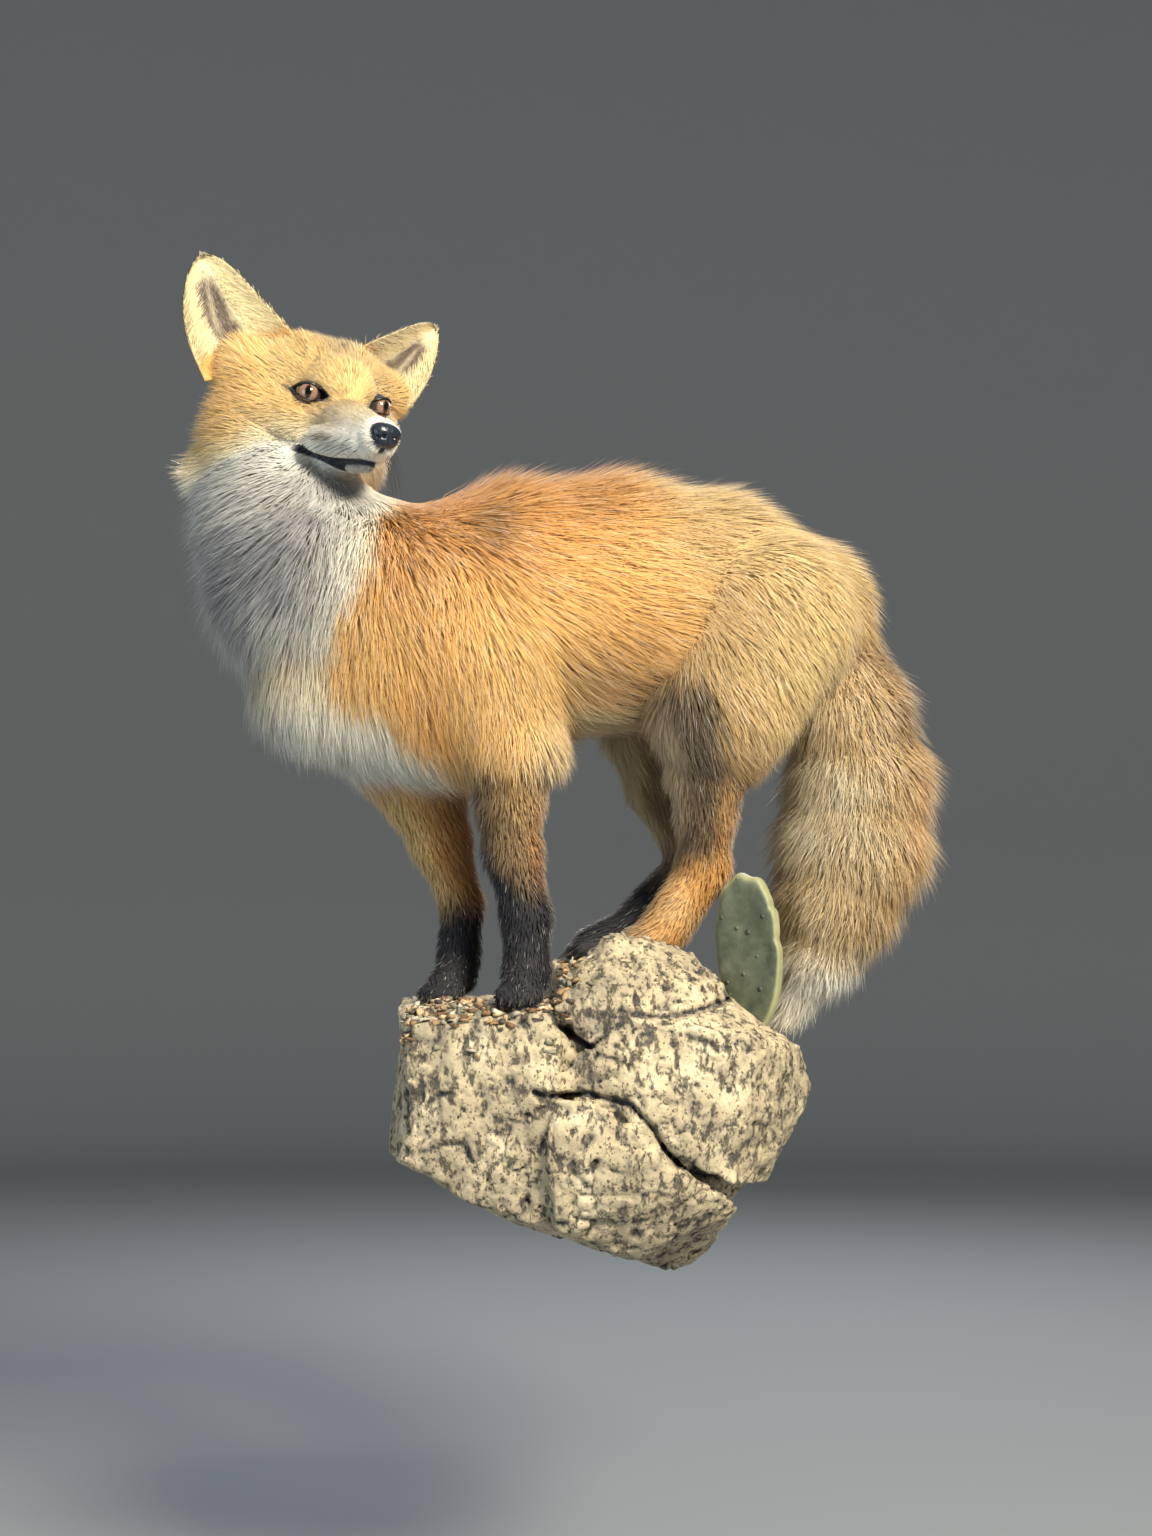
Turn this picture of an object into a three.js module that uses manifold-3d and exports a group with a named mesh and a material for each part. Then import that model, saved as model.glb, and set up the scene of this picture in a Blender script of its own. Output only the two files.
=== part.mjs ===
// Taxidermy red fox, life size, standing on an artificial rock with a prickly-pear pad.
// The rock's flat back hangs on a wall: the wall is the plane y = 0, the fox is on its -Y side,
// the origin is the middle of the flat back, +Z is up, and lengths are millimetres.
// The body is a table of round cones, one row a muscle or bone. Each row has the radius of the
// skin at its two ends and the depth of the coat over it. The solids are the outside of the coat.
import * as THREE from 'three';
import { ConvexGeometry } from 'three/addons/geometries/ConvexGeometry.js';
import { mergeVertices } from 'three/addons/utils/BufferGeometryUtils.js';
import { edgeTable, triTable } from 'three/addons/objects/MarchingCubes.js';
import Module from 'manifold-3d';

const wasm = await Module();
wasm.setup();

// ---------------------------------------------------------------- driving dimensions
const gap = 0.3; // left between neighbouring pieces
const foreCutHeight = 228; // the front legs leave the trunk at this level
const hindCutHeight = 256; // and the hind legs at this one
const betweenLegs = -12; // x of the belly between the front and the hind pair
const trunkCell = 26; // edge of the sampling cells on the trunk
const trunkWidthRatio = 1.22; // the trunk is this much deeper than it is wide
const headPlace = [-190, -225, 518]; // the point midway between the eyes
const headTurn = { yaw: 32, pitch: -10.5, roll: 5 }; // degrees: to the left flank, nose down, tilted
const eye = { radius: 10.6, right: [-8.2, 24.2, -1], left: [-3, -28.5, 0.5] };
const ear = { cup: 20, cupPower: 0.8, wall: 4.5, rim: 1.5, edgePower: 0.6, belly: 0.3, lean: 0.1 };
// each ear stands on a line from its inner to its outer root and rises to its tip (head frame)
const earPlaces = {
  ear_right: { inner: [-34, 33, 44], outer: [-48, 96, 3], tip: [-62, 102, 87] },
  ear_left: { inner: [-36, -28, 50], outer: [-42, -73, 7], tip: [-62, -97, 80] },
};
const noseSize = { forward: 9, side: 11.5, up: 9.5 };

const vec = (p) => new THREE.Vector3(...p);
const degrees = THREE.MathUtils.degToRad;

// ---------------------------------------------------------------- the head's own frame
// forward runs to the nose, side to the fox's right, up through the crown
function headAxes({ yaw, pitch, roll }) {
  const [a, b, c] = [yaw, pitch, roll].map(degrees);
  const forward = vec([Math.sin(a) * Math.cos(b), -Math.cos(a) * Math.cos(b), Math.sin(b)]);
  const level = forward.clone().cross(vec([0, 0, 1])).normalize();
  const upright = level.clone().cross(forward);
  const side = level.clone().multiplyScalar(Math.cos(c)).addScaledVector(upright, Math.sin(c));
  const up = upright.clone().multiplyScalar(Math.cos(c)).addScaledVector(level, -Math.sin(c));
  return { forward, side, up };
}
const headAxis = headAxes(headTurn);
function inHead(f, s, u) {
  return vec(headPlace)
    .addScaledVector(headAxis.forward, f)
    .addScaledVector(headAxis.side, s)
    .addScaledVector(headAxis.up, u)
    .toArray();
}
function headDirection(f, s, u) {
  return vec(inHead(f, s, u)).sub(vec(headPlace)).normalize();
}

// ---------------------------------------------------------------- the skeleton
const joints = {
  rump: [149, -92, 381], loin: [81, -105, 397], back: [7, -125, 384],
  ribs: [-62, -145, 373], chest: [-133, -165, 345], foreChest: [-202, -185, 334],
  neckRoot: [-133, -165, 365], neckMiddle: [-209, -185, 395], throat: [-234, -192, 451],
  shoulderLeft: [-98, -190, 338], elbowLeft: [-67, -200, 266], forearmLeft: [-68, -198, 225],
  forearmLowLeft: [-66, -194, 189], wristLeft: [-56, -190, 141], ankleLeft: [-55, -194, 106],
  pawLeft: [-56, -200, 96], pawTipLeft: [-59, -216, 90],
  shoulderRight: [-165, -135, 307], elbowRight: [-139, -120, 243], forearmRight: [-124, -116, 201],
  wristRight: [-107, -112, 151], ankleRight: [-109, -115, 112],
  pawRight: [-111, -124, 98], pawTipRight: [-118, -140, 91],
  hipLeft: [122, -130, 369], kneeLeft: [90, -150, 301], shankLeft: [79, -145, 252],
  shankLowLeft: [79, -138, 222], hockLeft: [78, -130, 179], ballLeft: [50, -136, 135],
  footLeft: [40, -138, 124], footTipLeft: [14, -142, 114],
  hipRight: [125, -65, 379], kneeRight: [40, -52, 301], shankRight: [40, -48, 244],
  hockRight: [71, -50, 188], ballRight: [31, -58, 143],
  footRight: [20, -60, 133], footTipRight: [-8, -64, 124],
  tailRoot: [180, -84, 356], tailUpper: [194, -78, 306], tailHigh: [203, -73, 252],
  tailMiddle: [198, -74, 203], tailLow: [185, -78, 156], tailThin: [170, -80, 114],
  tailTip: [143, -76, 62],
};
const headJoints = {
  nape: [-50, 0, -5], crown: [-42, 0, 3], brow: [-12, 0, 3], bridge: [4, 0, -18],
  snout: [69, 0, -29.5], jawRoot: [-14, 0, -34], chin: [57, 0, -46],
  cheekRight: [-26, 22, -22], jowlRight: [-42, 48, -35], ruffRight: [-60, 78, -76],
  cheekLeft: [-26, -22, -22], jowlLeft: [-42, -34, -35], ruffLeft: [-54, -50, -60],
  crownRight: [-44, 24, 13], earRootRight: [-46, 60, 14],
  crownLeft: [-44, -24, 14], earRootLeft: [-46, -52, 15],
  templeRight: [-20, 26, -4], cheekboneRight: [-34, 44, -12],
  templeLeft: [-9, -26, -3], cheekboneLeft: [-34, -41, -12],
  lipRight: [60, 8, -35], lipBackRight: [20, 18, -36],
  lipLeft: [60, -8, -35], lipBackLeft: [20, -18, -36],
};
for (const [name, [f, s, u]] of Object.entries(headJoints)) joints[name] = inHead(f, s, u);

// rows: part, from, to, skin radii, coat depths, [blend, squash]; squash flattens across the trunk
const round = 1;
const flesh = [
  ['trunk', 'rump', 'loin', 50, 58, 16, 18, 25, trunkWidthRatio],
  ['trunk', 'loin', 'back', 58, 76, 18, 22, 25, trunkWidthRatio],
  ['trunk', 'back', 'ribs', 76, 78, 22, 20, 25, trunkWidthRatio],
  ['trunk', 'ribs', 'chest', 78, 78, 20, 26, 25, trunkWidthRatio],
  ['trunk', 'chest', 'foreChest', 74, 45, 26, 26, 25, 1.05],
  ['neck', 'neckRoot', 'neckMiddle', 61, 56, 24, 28, 25, round],
  ['neck', 'neckMiddle', 'throat', 56, 44, 28, 28, 25, round],
  ['neck', 'throat', 'nape', 42, 36, 24, 14, 20, round],
  ['head', 'crown', 'brow', 36, 26, 7, 3, 8, round],
  ['head', 'bridge', 'snout', 18, 12, 3, 1.5, 8, round],
  ['head', 'jawRoot', 'chin', 20, 7.8, 4, 1.2, 6, round],
  ['head', 'cheekRight', 'jowlRight', 22, 18, 7, 14, 10, round],
  ['head', 'cheekLeft', 'jowlLeft', 22, 16, 7, 11, 10, round],
  ['head', 'jowlRight', 'ruffRight', 14, 0, 16, 17, 16, round],
  ['head', 'jowlLeft', 'ruffLeft', 14, 0, 11, 15, 16, round],
  ['head', 'crownRight', 'earRootRight', 26, 16, 6, 8, 14, round],
  ['head', 'crownLeft', 'earRootLeft', 26, 13, 6, 7, 14, round],
  ['head', 'templeRight', 'cheekboneRight', 10, 16, 3, 8, 10, round],
  ['head', 'templeLeft', 'cheekboneLeft', 12, 16, 3, 5, 10, round],
  ['head', 'lipRight', 'lipBackRight', 7.6, 10.5, 1.4, 2.5, 6, round],
  ['head', 'lipLeft', 'lipBackLeft', 7.6, 10.5, 1.4, 2.5, 6, round],
  ['frontLeft', 'shoulderLeft', 'elbowLeft', 44, 29, 18, 10, 14, round],
  ['frontLeft', 'elbowLeft', 'forearmLeft', 29, 19, 10, 8, 10, round],
  ['frontLeft', 'forearmLeft', 'forearmLowLeft', 19, 16, 8, 7, 10, round],
  ['frontLeft', 'forearmLowLeft', 'wristLeft', 16, 14, 7, 5, 10, round],
  ['frontLeft', 'wristLeft', 'ankleLeft', 14, 15, 5, 4, 10, round],
  ['frontRight', 'shoulderRight', 'elbowRight', 42, 26, 18, 10, 14, round],
  ['frontRight', 'elbowRight', 'forearmRight', 26, 18, 10, 7, 10, round],
  ['frontRight', 'forearmRight', 'wristRight', 18, 12, 7, 5, 10, round],
  ['frontRight', 'wristRight', 'ankleRight', 12, 14.5, 5, 4, 10, round],
  ['hindLeft', 'hipLeft', 'kneeLeft', 58, 42, 14, 14, 14, round],
  ['hindLeft', 'kneeLeft', 'shankLeft', 42, 22, 14, 10, 10, round],
  ['hindLeft', 'shankLeft', 'shankLowLeft', 22, 17, 10, 8, 10, round],
  ['hindLeft', 'shankLowLeft', 'hockLeft', 17, 15, 8, 6, 10, round],
  ['hindLeft', 'hockLeft', 'ballLeft', 15, 16, 6, 6, 10, round],
  ['hindRight', 'hipRight', 'kneeRight', 46, 29, 14, 11, 14, round],
  ['hindRight', 'kneeRight', 'shankRight', 29, 14, 11, 6, 10, round],
  ['hindRight', 'shankRight', 'hockRight', 14, 12, 6, 5, 10, round],
  ['hindRight', 'hockRight', 'ballRight', 12, 14.5, 5, 4, 10, round],
  ['tail', 'tailRoot', 'tailUpper', 24, 28, 19, 25, 14, round],
  ['tail', 'tailUpper', 'tailHigh', 28, 32, 25, 28, 14, round],
  ['tail', 'tailHigh', 'tailMiddle', 32, 33, 28, 31, 14, round],
  ['tail', 'tailMiddle', 'tailLow', 33, 24, 31, 26, 14, round],
  ['tail', 'tailLow', 'tailThin', 24, 14, 26, 18, 14, round],
  ['tail', 'tailThin', 'tailTip', 14, 4, 18, 9, 14, round],
];
const paws = {
  frontLeft: { heel: 'pawLeft', tip: 'pawTipLeft', radius: 16, coat: 3, leg: 'ankleLeft' },
  frontRight: { heel: 'pawRight', tip: 'pawTipRight', radius: 15, coat: 3, leg: 'ankleRight' },
  hindLeft: { heel: 'footLeft', tip: 'footTipLeft', radius: 15, coat: 4, leg: 'ballLeft' },
  hindRight: { heel: 'footRight', tip: 'footTipRight', radius: 14, coat: 3, leg: 'ballRight' },
};
const paw = { taper: 4, blend: 6, heelShare: 0.96, tipReach: 19, stations: 8, sectors: 12 };
const toe = { count: 4, radius: 7.6, taper: 0.8, coat: 1.4, reach: 14, splay: 5.2, fan: 2, drop: 4, blend: 3 };
const claw = { length: 9, radius: 1.7, sides: 5, sink: 3, dip: -0.45, lift: 0.5 };

const trunkAxis = vec(joints.chest).sub(vec(joints.rump)).setZ(0).normalize();
const trunkSide = trunkAxis.clone().cross(vec([0, 0, 1]));

// ---------------------------------------------------------------- distance to the coat
// distance of a point from a cone with round ends, its sides squashed across the trunk
function coneDistance(point, cone) {
  const across = cone.squash - 1;
  const q = [0, 1, 2].map((i) => point[i] - cone.from[i]);
  const d = [0, 1, 2].map((i) => cone.to[i] - cone.from[i]);
  const side = trunkSide.toArray();
  const qs = (q[0] * side[0] + q[1] * side[1]) * across;
  const ds = (d[0] * side[0] + d[1] * side[1]) * across;
  for (let i = 0; i < 2; i++) {
    q[i] += qs * side[i];
    d[i] += ds * side[i];
  }
  const along = (q[0] * d[0] + q[1] * d[1] + q[2] * d[2]) / (d[0] ** 2 + d[1] ** 2 + d[2] ** 2);
  const t = Math.min(1, Math.max(0, along));
  const off = Math.hypot(q[0] - t * d[0], q[1] - t * d[1], q[2] - t * d[2]);
  return off - (cone.radii[0] + (cone.radii[1] - cone.radii[0]) * t);
}
// two distances joined with a soft fillet of the given width
function softJoin(a, b, width) {
  const h = Math.max(width - Math.abs(a - b), 0) / width;
  return Math.min(a, b) - (h * h * width) / 4;
}
function coneOf([, from, to, skinA, skinB, coatA, coatB, blend, squash]) {
  return { from: joints[from], to: joints[to], radii: [skinA + coatA, skinB + coatB], blend, squash };
}
function pawCones({ heel, tip, radius, coat }) {
  const [back, front] = [vec(joints[heel]), vec(joints[tip])];
  const forward = front.clone().sub(back).normalize();
  const across = forward.clone().cross(vec([0, 0, 1])).normalize();
  const r = radius + coat;
  const sole = { from: back.toArray(), to: front.toArray(), radii: [r, r - paw.taper], blend: paw.blend, squash: round };
  const toes = Array.from({ length: toe.count }, (_, i) => {
    const place = i - (toe.count - 1) / 2;
    const share = 1 - Math.abs(place) / toe.count; // the middle toes are the longest
    const root = front.clone().addScaledVector(across, place * toe.splay).setZ(front.z - toe.drop);
    const end = root.clone().addScaledVector(forward, toe.reach * share).addScaledVector(across, place * toe.fan);
    const toeRadius = toe.radius + toe.coat;
    return {
      from: root.toArray(), to: end.toArray(), radii: [toeRadius, toeRadius - toe.taper],
      blend: toe.blend, squash: round, claw: forward,
    };
  });
  return [sole, ...toes];
}
function field(cones) {
  return (point) => cones.reduce((d, cone) => softJoin(d, coneDistance(point, cone), cone.blend), 1e3);
}
const conesOf = (...parts) => flesh.filter((row) => parts.includes(row[0])).map(coneOf);

// ---------------------------------------------------------------- surfaces
// cell corners and edges in the order that the edge and triangle tables use
const corners = [[0, 0, 0], [1, 0, 0], [1, 1, 0], [0, 1, 0], [0, 0, 1], [1, 0, 1], [1, 1, 1], [0, 1, 1]];
const edges = [
  [0, 1], [1, 2], [2, 3], [3, 0], [4, 5], [5, 6], [6, 7], [7, 4], [0, 4], [1, 5], [2, 6], [3, 7]];
const leastShare = 0.1; // a surface point keeps this far from the ends of its edge, so no face is a sliver
// the zero surface of a distance inside a box, closed where the box ends
function polygonise(distance, low, high, cell) {
  const count = low.map((v, i) => Math.ceil((high[i] - v) / cell) + 1);
  const values = new Float64Array(count[0] * count[1] * count[2]);
  const at = (i, j, k) => (k * count[1] + j) * count[0] + i;
  const edgeOfBox = (i, j, k) => [i, j, k].some((v, axis) => v === 0 || v === count[axis] - 1);
  for (let k = 0; k < count[2]; k++) {
    for (let j = 0; j < count[1]; j++) {
      for (let i = 0; i < count[0]; i++) {
        const d = distance([low[0] + i * cell, low[1] + j * cell, low[2] + k * cell]);
        values[at(i, j, k)] = edgeOfBox(i, j, k) ? Math.max(d, cell / 2) : d;
      }
    }
  }
  const positions = [];
  const index = [];
  const made = new Map();
  const cross = (i, j, k, edge) => {
    const [a, b] = edges[edge].map((c) => corners[c].map((v, axis) => v + [i, j, k][axis]));
    const [va, vb] = [values[at(...a)], values[at(...b)]];
    const key = [at(...a), at(...b)].sort((p, q) => p - q).join();
    if (!made.has(key)) {
      const t = THREE.MathUtils.clamp(va / (va - vb), leastShare, 1 - leastShare);
      made.set(key, positions.length / 3);
      positions.push(...low.map((v, axis) => v + cell * (a[axis] + t * (b[axis] - a[axis]))));
    }
    return made.get(key);
  };
  for (let k = 0; k < count[2] - 1; k++) {
    for (let j = 0; j < count[1] - 1; j++) {
      for (let i = 0; i < count[0] - 1; i++) {
        let kind = 0;
        corners.forEach(([x, y, z], bit) => { if (values[at(i + x, j + y, k + z)] < 0) kind |= 1 << bit; });
        if (!edgeTable[kind]) continue;
        for (let t = kind * 16; triTable[t] !== -1; t += 3) {
          const [a, b, c] = [0, 1, 2].map((n) => cross(i, j, k, triTable[t + n]));
          index.push(a, c, b);
        }
      }
    }
  }
  const geometry = new THREE.BufferGeometry();
  geometry.setAttribute('position', new THREE.Float32BufferAttribute(positions, 3));
  geometry.setIndex(index);
  return geometry;
}
// rings of points, each joined to the next, with a fan over both ends
function loft(rings) {
  const sectors = rings[0].length;
  const positions = rings.flat().flatMap((p) => p.toArray());
  const middle = (ring) => ring.reduce((sum, p) => sum.add(p), new THREE.Vector3()).divideScalar(sectors);
  positions.push(...middle(rings[0]).toArray(), ...middle(rings.at(-1)).toArray());
  const [first, last] = [rings.length * sectors, rings.length * sectors + 1];
  const index = [];
  for (let s = 0; s < sectors; s++) {
    const next = (s + 1) % sectors;
    for (let r = 0; r < rings.length - 1; r++) {
      const [a, b] = [r * sectors + s, r * sectors + next];
      index.push(a, b, b + sectors, a, b + sectors, a + sectors);
    }
    const end = (rings.length - 1) * sectors;
    index.push(first, next, s, last, end + s, end + next);
  }
  const geometry = new THREE.BufferGeometry();
  geometry.setAttribute('position', new THREE.Float32BufferAttribute(positions, 3));
  geometry.setIndex(index);
  return geometry;
}
// volume inside a closed surface, negative where its faces point in
function signedVolume(geometry) {
  const [p, index] = [geometry.attributes.position, geometry.index.array];
  const corner = (n) => new THREE.Vector3().fromBufferAttribute(p, index[n]);
  let sum = 0;
  for (let t = 0; t < index.length; t += 3) sum += corner(t).dot(corner(t + 1).cross(corner(t + 2))) / 6;
  return sum;
}
const leastRadius = 0.4;
const halvings = 12;
// rings cast outwards from stations, each a place and a normal, until they meet the coat;
// the first ray of a ring is the last ring's, turned no more than the path itself turns
function castLoft(stations, distance, { sectors, reach, firstRay, step = 2 }) {
  let ray = (firstRay ?? vec([1, 0, 0])).clone();
  const rings = stations.map(({ place, normal, distance: own = distance }) => {
    ray = ray.clone().addScaledVector(normal, -ray.dot(normal)).normalize();
    const sideways = normal.clone().cross(ray);
    return Array.from({ length: sectors }, (_, s) => {
      const angle = (2 * Math.PI * s) / sectors;
      const way = ray.clone().multiplyScalar(Math.cos(angle)).addScaledVector(sideways, Math.sin(angle));
      const outside = (r) => own(place.clone().addScaledVector(way, r).toArray()) > 0;
      let far = step;
      while (far < reach && !outside(far)) far += step;
      let near = far - step;
      for (let i = 0; i < halvings; i++) {
        const half = (near + far) / 2;
        if (outside(half)) far = half;
        else near = half;
      }
      return place.clone().addScaledVector(way, Math.max(near, leastRadius));
    });
  });
  return loft(rings);
}
// stations at places, square to the path through them
function stationsAt(places) {
  return places.map((place, n) => {
    const before = places[Math.max(n - 1, 0)];
    const after = places[Math.min(n + 1, places.length - 1)];
    return { place, normal: after.clone().sub(before).normalize() };
  });
}
// places set out evenly along a chain of joints
function placesAlong(names, count) {
  const curve = new THREE.CatmullRomCurve3(names.map((n) => vec(joints[n])), false, 'centripetal');
  return curve.getSpacedPoints(count - 1);
}

// ---------------------------------------------------------------- solids
function solid(geometry) {
  const g = geometry.clone();
  g.deleteAttribute('normal');
  g.deleteAttribute('uv');
  const merged = mergeVertices(g, 1e-4);
  const vertProperties = Float32Array.from(merged.attributes.position.array);
  const triVerts = Uint32Array.from(merged.index.array);
  return new wasm.Manifold(new wasm.Mesh({ numProp: 3, vertProperties, triVerts }));
}
// the same closed surface a little larger, every vertex moved out along its normal
function swollen(geometry, amount = gap * 1.4) {
  const g = geometry.clone();
  g.deleteAttribute('normal');
  g.deleteAttribute('uv');
  const grown = mergeVertices(g, 1e-4);
  grown.computeVertexNormals();
  const [p, n] = [grown.attributes.position, grown.attributes.normal];
  for (let i = 0; i < p.count; i++) {
    const moved = new THREE.Vector3().fromBufferAttribute(p, i);
    moved.addScaledVector(new THREE.Vector3().fromBufferAttribute(n, i), amount);
    p.setXYZ(i, ...moved.toArray());
  }
  return grown;
}
function geometryOf(manifold) {
  const mesh = manifold.getMesh();
  const geometry = new THREE.BufferGeometry();
  geometry.setAttribute('position', new THREE.BufferAttribute(Float32Array.from(mesh.vertProperties), 3));
  geometry.setIndex(Array.from(mesh.triVerts));
  return geometry;
}
// a block on the side of a plane that its normal points to
function blockPast(point, normal, size, depth = size) {
  const turn = new THREE.Quaternion().setFromUnitVectors(vec([0, 0, 1]), normal);
  const block = new THREE.BoxGeometry(size, size, depth);
  block.applyQuaternion(turn);
  block.translate(...vec(point).addScaledVector(normal, depth / 2).toArray());
  return solid(block);
}
function boxBetween(low, high) {
  const block = new THREE.BoxGeometry(...high.map((v, i) => v - low[i]));
  block.translate(...high.map((v, i) => (v + low[i]) / 2));
  return solid(block);
}
// the same with its reach to the head's side and along the plane given
function blockInHead(point, normal, sideReach, alongReach, depth) {
  const along = normal.clone().cross(headAxis.side);
  const block = new THREE.BoxGeometry(sideReach[1] - sideReach[0], alongReach[1] - alongReach[0], depth);
  block.translate((sideReach[0] + sideReach[1]) / 2, (alongReach[0] + alongReach[1]) / 2, 0);
  const basis = new THREE.Matrix4().makeBasis(headAxis.side, along, normal);
  block.applyMatrix4(basis);
  if (basis.determinant() < 0) block.index.array.reverse();
  block.translate(...vec(point).addScaledVector(normal, depth / 2).toArray());
  return solid(block);
}
// parts a solid along one plane within a block: the piece past the plane and what is left
function part(whole, point, normal, size, depth = size) {
  const past = vec(point).addScaledVector(normal, gap).toArray();
  const piece = whole.intersect(blockPast(past, normal, size, depth));
  const rest = whole.subtract(blockPast(point, normal, size, depth));
  return [piece, rest];
}
// the largest of a solid's separate bodies
function largest(manifold) {
  return manifold.decompose().reduce((a, b) => (b.volume() > a.volume() ? b : a));
}

const colours = {
  orange: 0xc98a4b, rump: 0xc9a572, cream: 0xe2d3b0, white: 0xe8e2d2, dark: 0x4a3a30, tail: 0xbf9a68,
  nose: 0x15181c, eye: 0x7a4a26, rock: 0xcfc09a, cactus: 0x67725a,
};
const furRoughness = 0.85;
const finish = (color, roughness = furRoughness) => new THREE.MeshStandardMaterial({ color, roughness, metalness: 0 });
const fox = new THREE.Group();
function add(name, shape, material) {
  const geometry = shape.isBufferGeometry ? shape : geometryOf(shape);
  const mesh = new THREE.Mesh(geometry, material);
  mesh.name = name;
  fox.add(mesh);
}

// ---------------------------------------------------------------- trunk, neck and head
const upperLegs = flesh.filter(([, from]) => /^(shoulder|hip|elbow|knee)/.test(from)).map(coneOf);
const behindHead = flesh.filter(([name, from]) => name === 'head' && /^(crown|jowl)/.test(from)).map(coneOf);
const torsoCones = [...conesOf('trunk', 'neck'), ...behindHead, ...upperLegs];
const torsoLow = [-310, -290, 215];
const torsoHigh = [235, 10, 580];
const torsoSurface = polygonise(field(torsoCones), torsoLow, torsoHigh, trunkCell);
const torso = solid(torsoSurface);
const torsoGrown = solid(swollen(torsoSurface));
// the head meets the neck on a plane from under the jaw to behind the crown; its first stations
// fan out from that plane about a line in the throat, the others run square across the muzzle
const headPlaneSlope = 48.6;
const underJaw = [-12, -56];
const fanDepth = 14; // the fan's line is this far below the jaw
const slopeUp = (angle, out) => [-out * Math.sin(degrees(angle)), out * Math.cos(degrees(angle))];
const slopeNormal = (angle) => headDirection(Math.cos(degrees(angle)), 0, Math.sin(degrees(angle)));
const fanLine = slopeUp(headPlaneSlope, -fanDepth).map((v, i) => v + underJaw[i]);
// [degrees, distance of the station above the fan's line]
const fanSlopes = [[headPlaneSlope, 59], [40, 58], [31, 57], [22, 57], [13, 57], [4, 57]];
const fan = fanSlopes.map(([angle, out]) => [...slopeUp(angle, out).map((v, i) => v + fanLine[i]), angle]);
// [forward, up, degrees]
const muzzle = [
  [5, -15, -3], [14, -18, -6], [23, -21, -8], [32, -24, -10], [41, -26, -12], [50, -28, -12],
  [59, -31, -12], [66, -32, -10], [72, -33, -8], [77, -32, -8], [80.5, -31.5, -8], [82.3, -31, -8],
];
const headPlane = slopeNormal(headPlaneSlope);
const jawPoint = inHead(underJaw[0], 0, underJaw[1]);
const floorNormal = headDirection(0.4, 0, -0.92);
const wholeHeadField = field(conesOf('neck', 'head'));
// behind the jaw the neck's coat counts too, down to a slanted floor
const fanField = (point) => Math.max(wholeHeadField(point), vec(point).sub(vec(jawPoint)).dot(floorNormal));
const faceField = field(conesOf('head'));
function headStation([f, u, angle], distance) {
  return { place: vec(inHead(f, 0, u)), normal: slopeNormal(angle), distance };
}
const headStations = [
  ...fan.map((row) => headStation(row, fanField)),
  ...muzzle.map((row) => headStation(row, faceField)),
];
headStations[0].place.addScaledVector(headPlane, gap);
const headSurface = castLoft(headStations, faceField, { sectors: 20, reach: 110, firstRay: headAxis.side });
const headWhole = solid(headSurface);
// the space that the neck and the ears leave for the head: the head, and two copies moved a little
// towards the throat and to either side
const clearance = gap * 2.5;
const headGrown = [1, -1].reduce((space, side) => {
  const shift = headDirection(0.8, side, -1).multiplyScalar(clearance);
  return space.add(headWhole.translate(shift.toArray()));
}, headWhole);
const headSideReach = [-110, 120];
const aboveHeadPlane = blockInHead(jawPoint, headPlane, headSideReach, [-150, 0], 220);
const headless = largest(torso.subtract(aboveHeadPlane).subtract(headGrown));

// trunk and neck
const neckPlaneRise = 55;
const neckPlaneShare = 0.45; // of the way along the lower neck
const neckPlane = vec(joints.neckMiddle).sub(vec(joints.neckRoot)).setZ(neckPlaneRise).normalize();
const neckPlanePoint = vec(joints.neckRoot).lerp(vec(joints.neckMiddle), neckPlaneShare).toArray();
const [neckPiece, trunkWhole] = part(headless, neckPlanePoint, neckPlane, 300, 260);
const belowLegs = 150;
const legless = trunkWhole
  .subtract(boxBetween([-300, -300, belowLegs], [betweenLegs, 40, foreCutHeight]))
  .subtract(boxBetween([betweenLegs - 1, -300, belowLegs], [160, 40, hindCutHeight]));
// thighs and shoulders are parted from the trunk by upright planes beside the spine
const thighLine = -118;
const farThighLine = -66;
const thighFront = 42;
const limbRoots = {
  hind_left_thigh: { low: [thighFront, -320, belowLegs], high: [260, thighLine, 395], color: colours.rump },
  hind_right_thigh: { low: [-4, farThighLine, belowLegs], high: [260, 60, 380], color: colours.rump },
  front_left_shoulder: { low: [-124, -320, belowLegs], high: [-24, -190, 372], color: colours.orange },
  front_right_shoulder: { low: [-196, -112, belowLegs], high: [-96, 60, 350], color: colours.orange },
};
const shrink = (box) => boxBetween(box.low.map((v) => v + gap), box.high.map((v) => v - gap));
let trunk = legless;
for (const [name, box] of Object.entries(limbRoots)) {
  add(name, largest(legless.intersect(shrink(box))), finish(box.color));
  trunk = trunk.subtract(boxBetween(box.low, box.high));
}
add('trunk', largest(trunk), finish(colours.orange));
add('neck', largest(neckPiece), finish(colours.white));

// ---------------------------------------------------------------- face
const eyePlaces = { eye_right: inHead(...eye.right), eye_left: inHead(...eye.left) };
const ball = (place, radius) => new THREE.SphereGeometry(radius, 12, 7).translate(...place);
const nosePlace = inHead(78, 0, -28.5);
function ellipsoidInHead(place, size) {
  const basis = new THREE.Matrix4().makeBasis(headAxis.forward, headAxis.side, headAxis.up);
  if (basis.determinant() < 0) basis.makeBasis(headAxis.forward, headAxis.side.clone().negate(), headAxis.up);
  const g = new THREE.SphereGeometry(1, 10, 7);
  g.scale(size.forward, size.side, size.up);
  g.applyMatrix4(basis);
  return g.translate(...place);
}
const grownNose = Object.fromEntries(Object.entries(noseSize).map(([k, v]) => [k, v + gap * 2]));
let face = headWhole;
for (const place of Object.values(eyePlaces)) face = face.subtract(solid(ball(place, eye.radius + gap * 2)));
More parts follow.
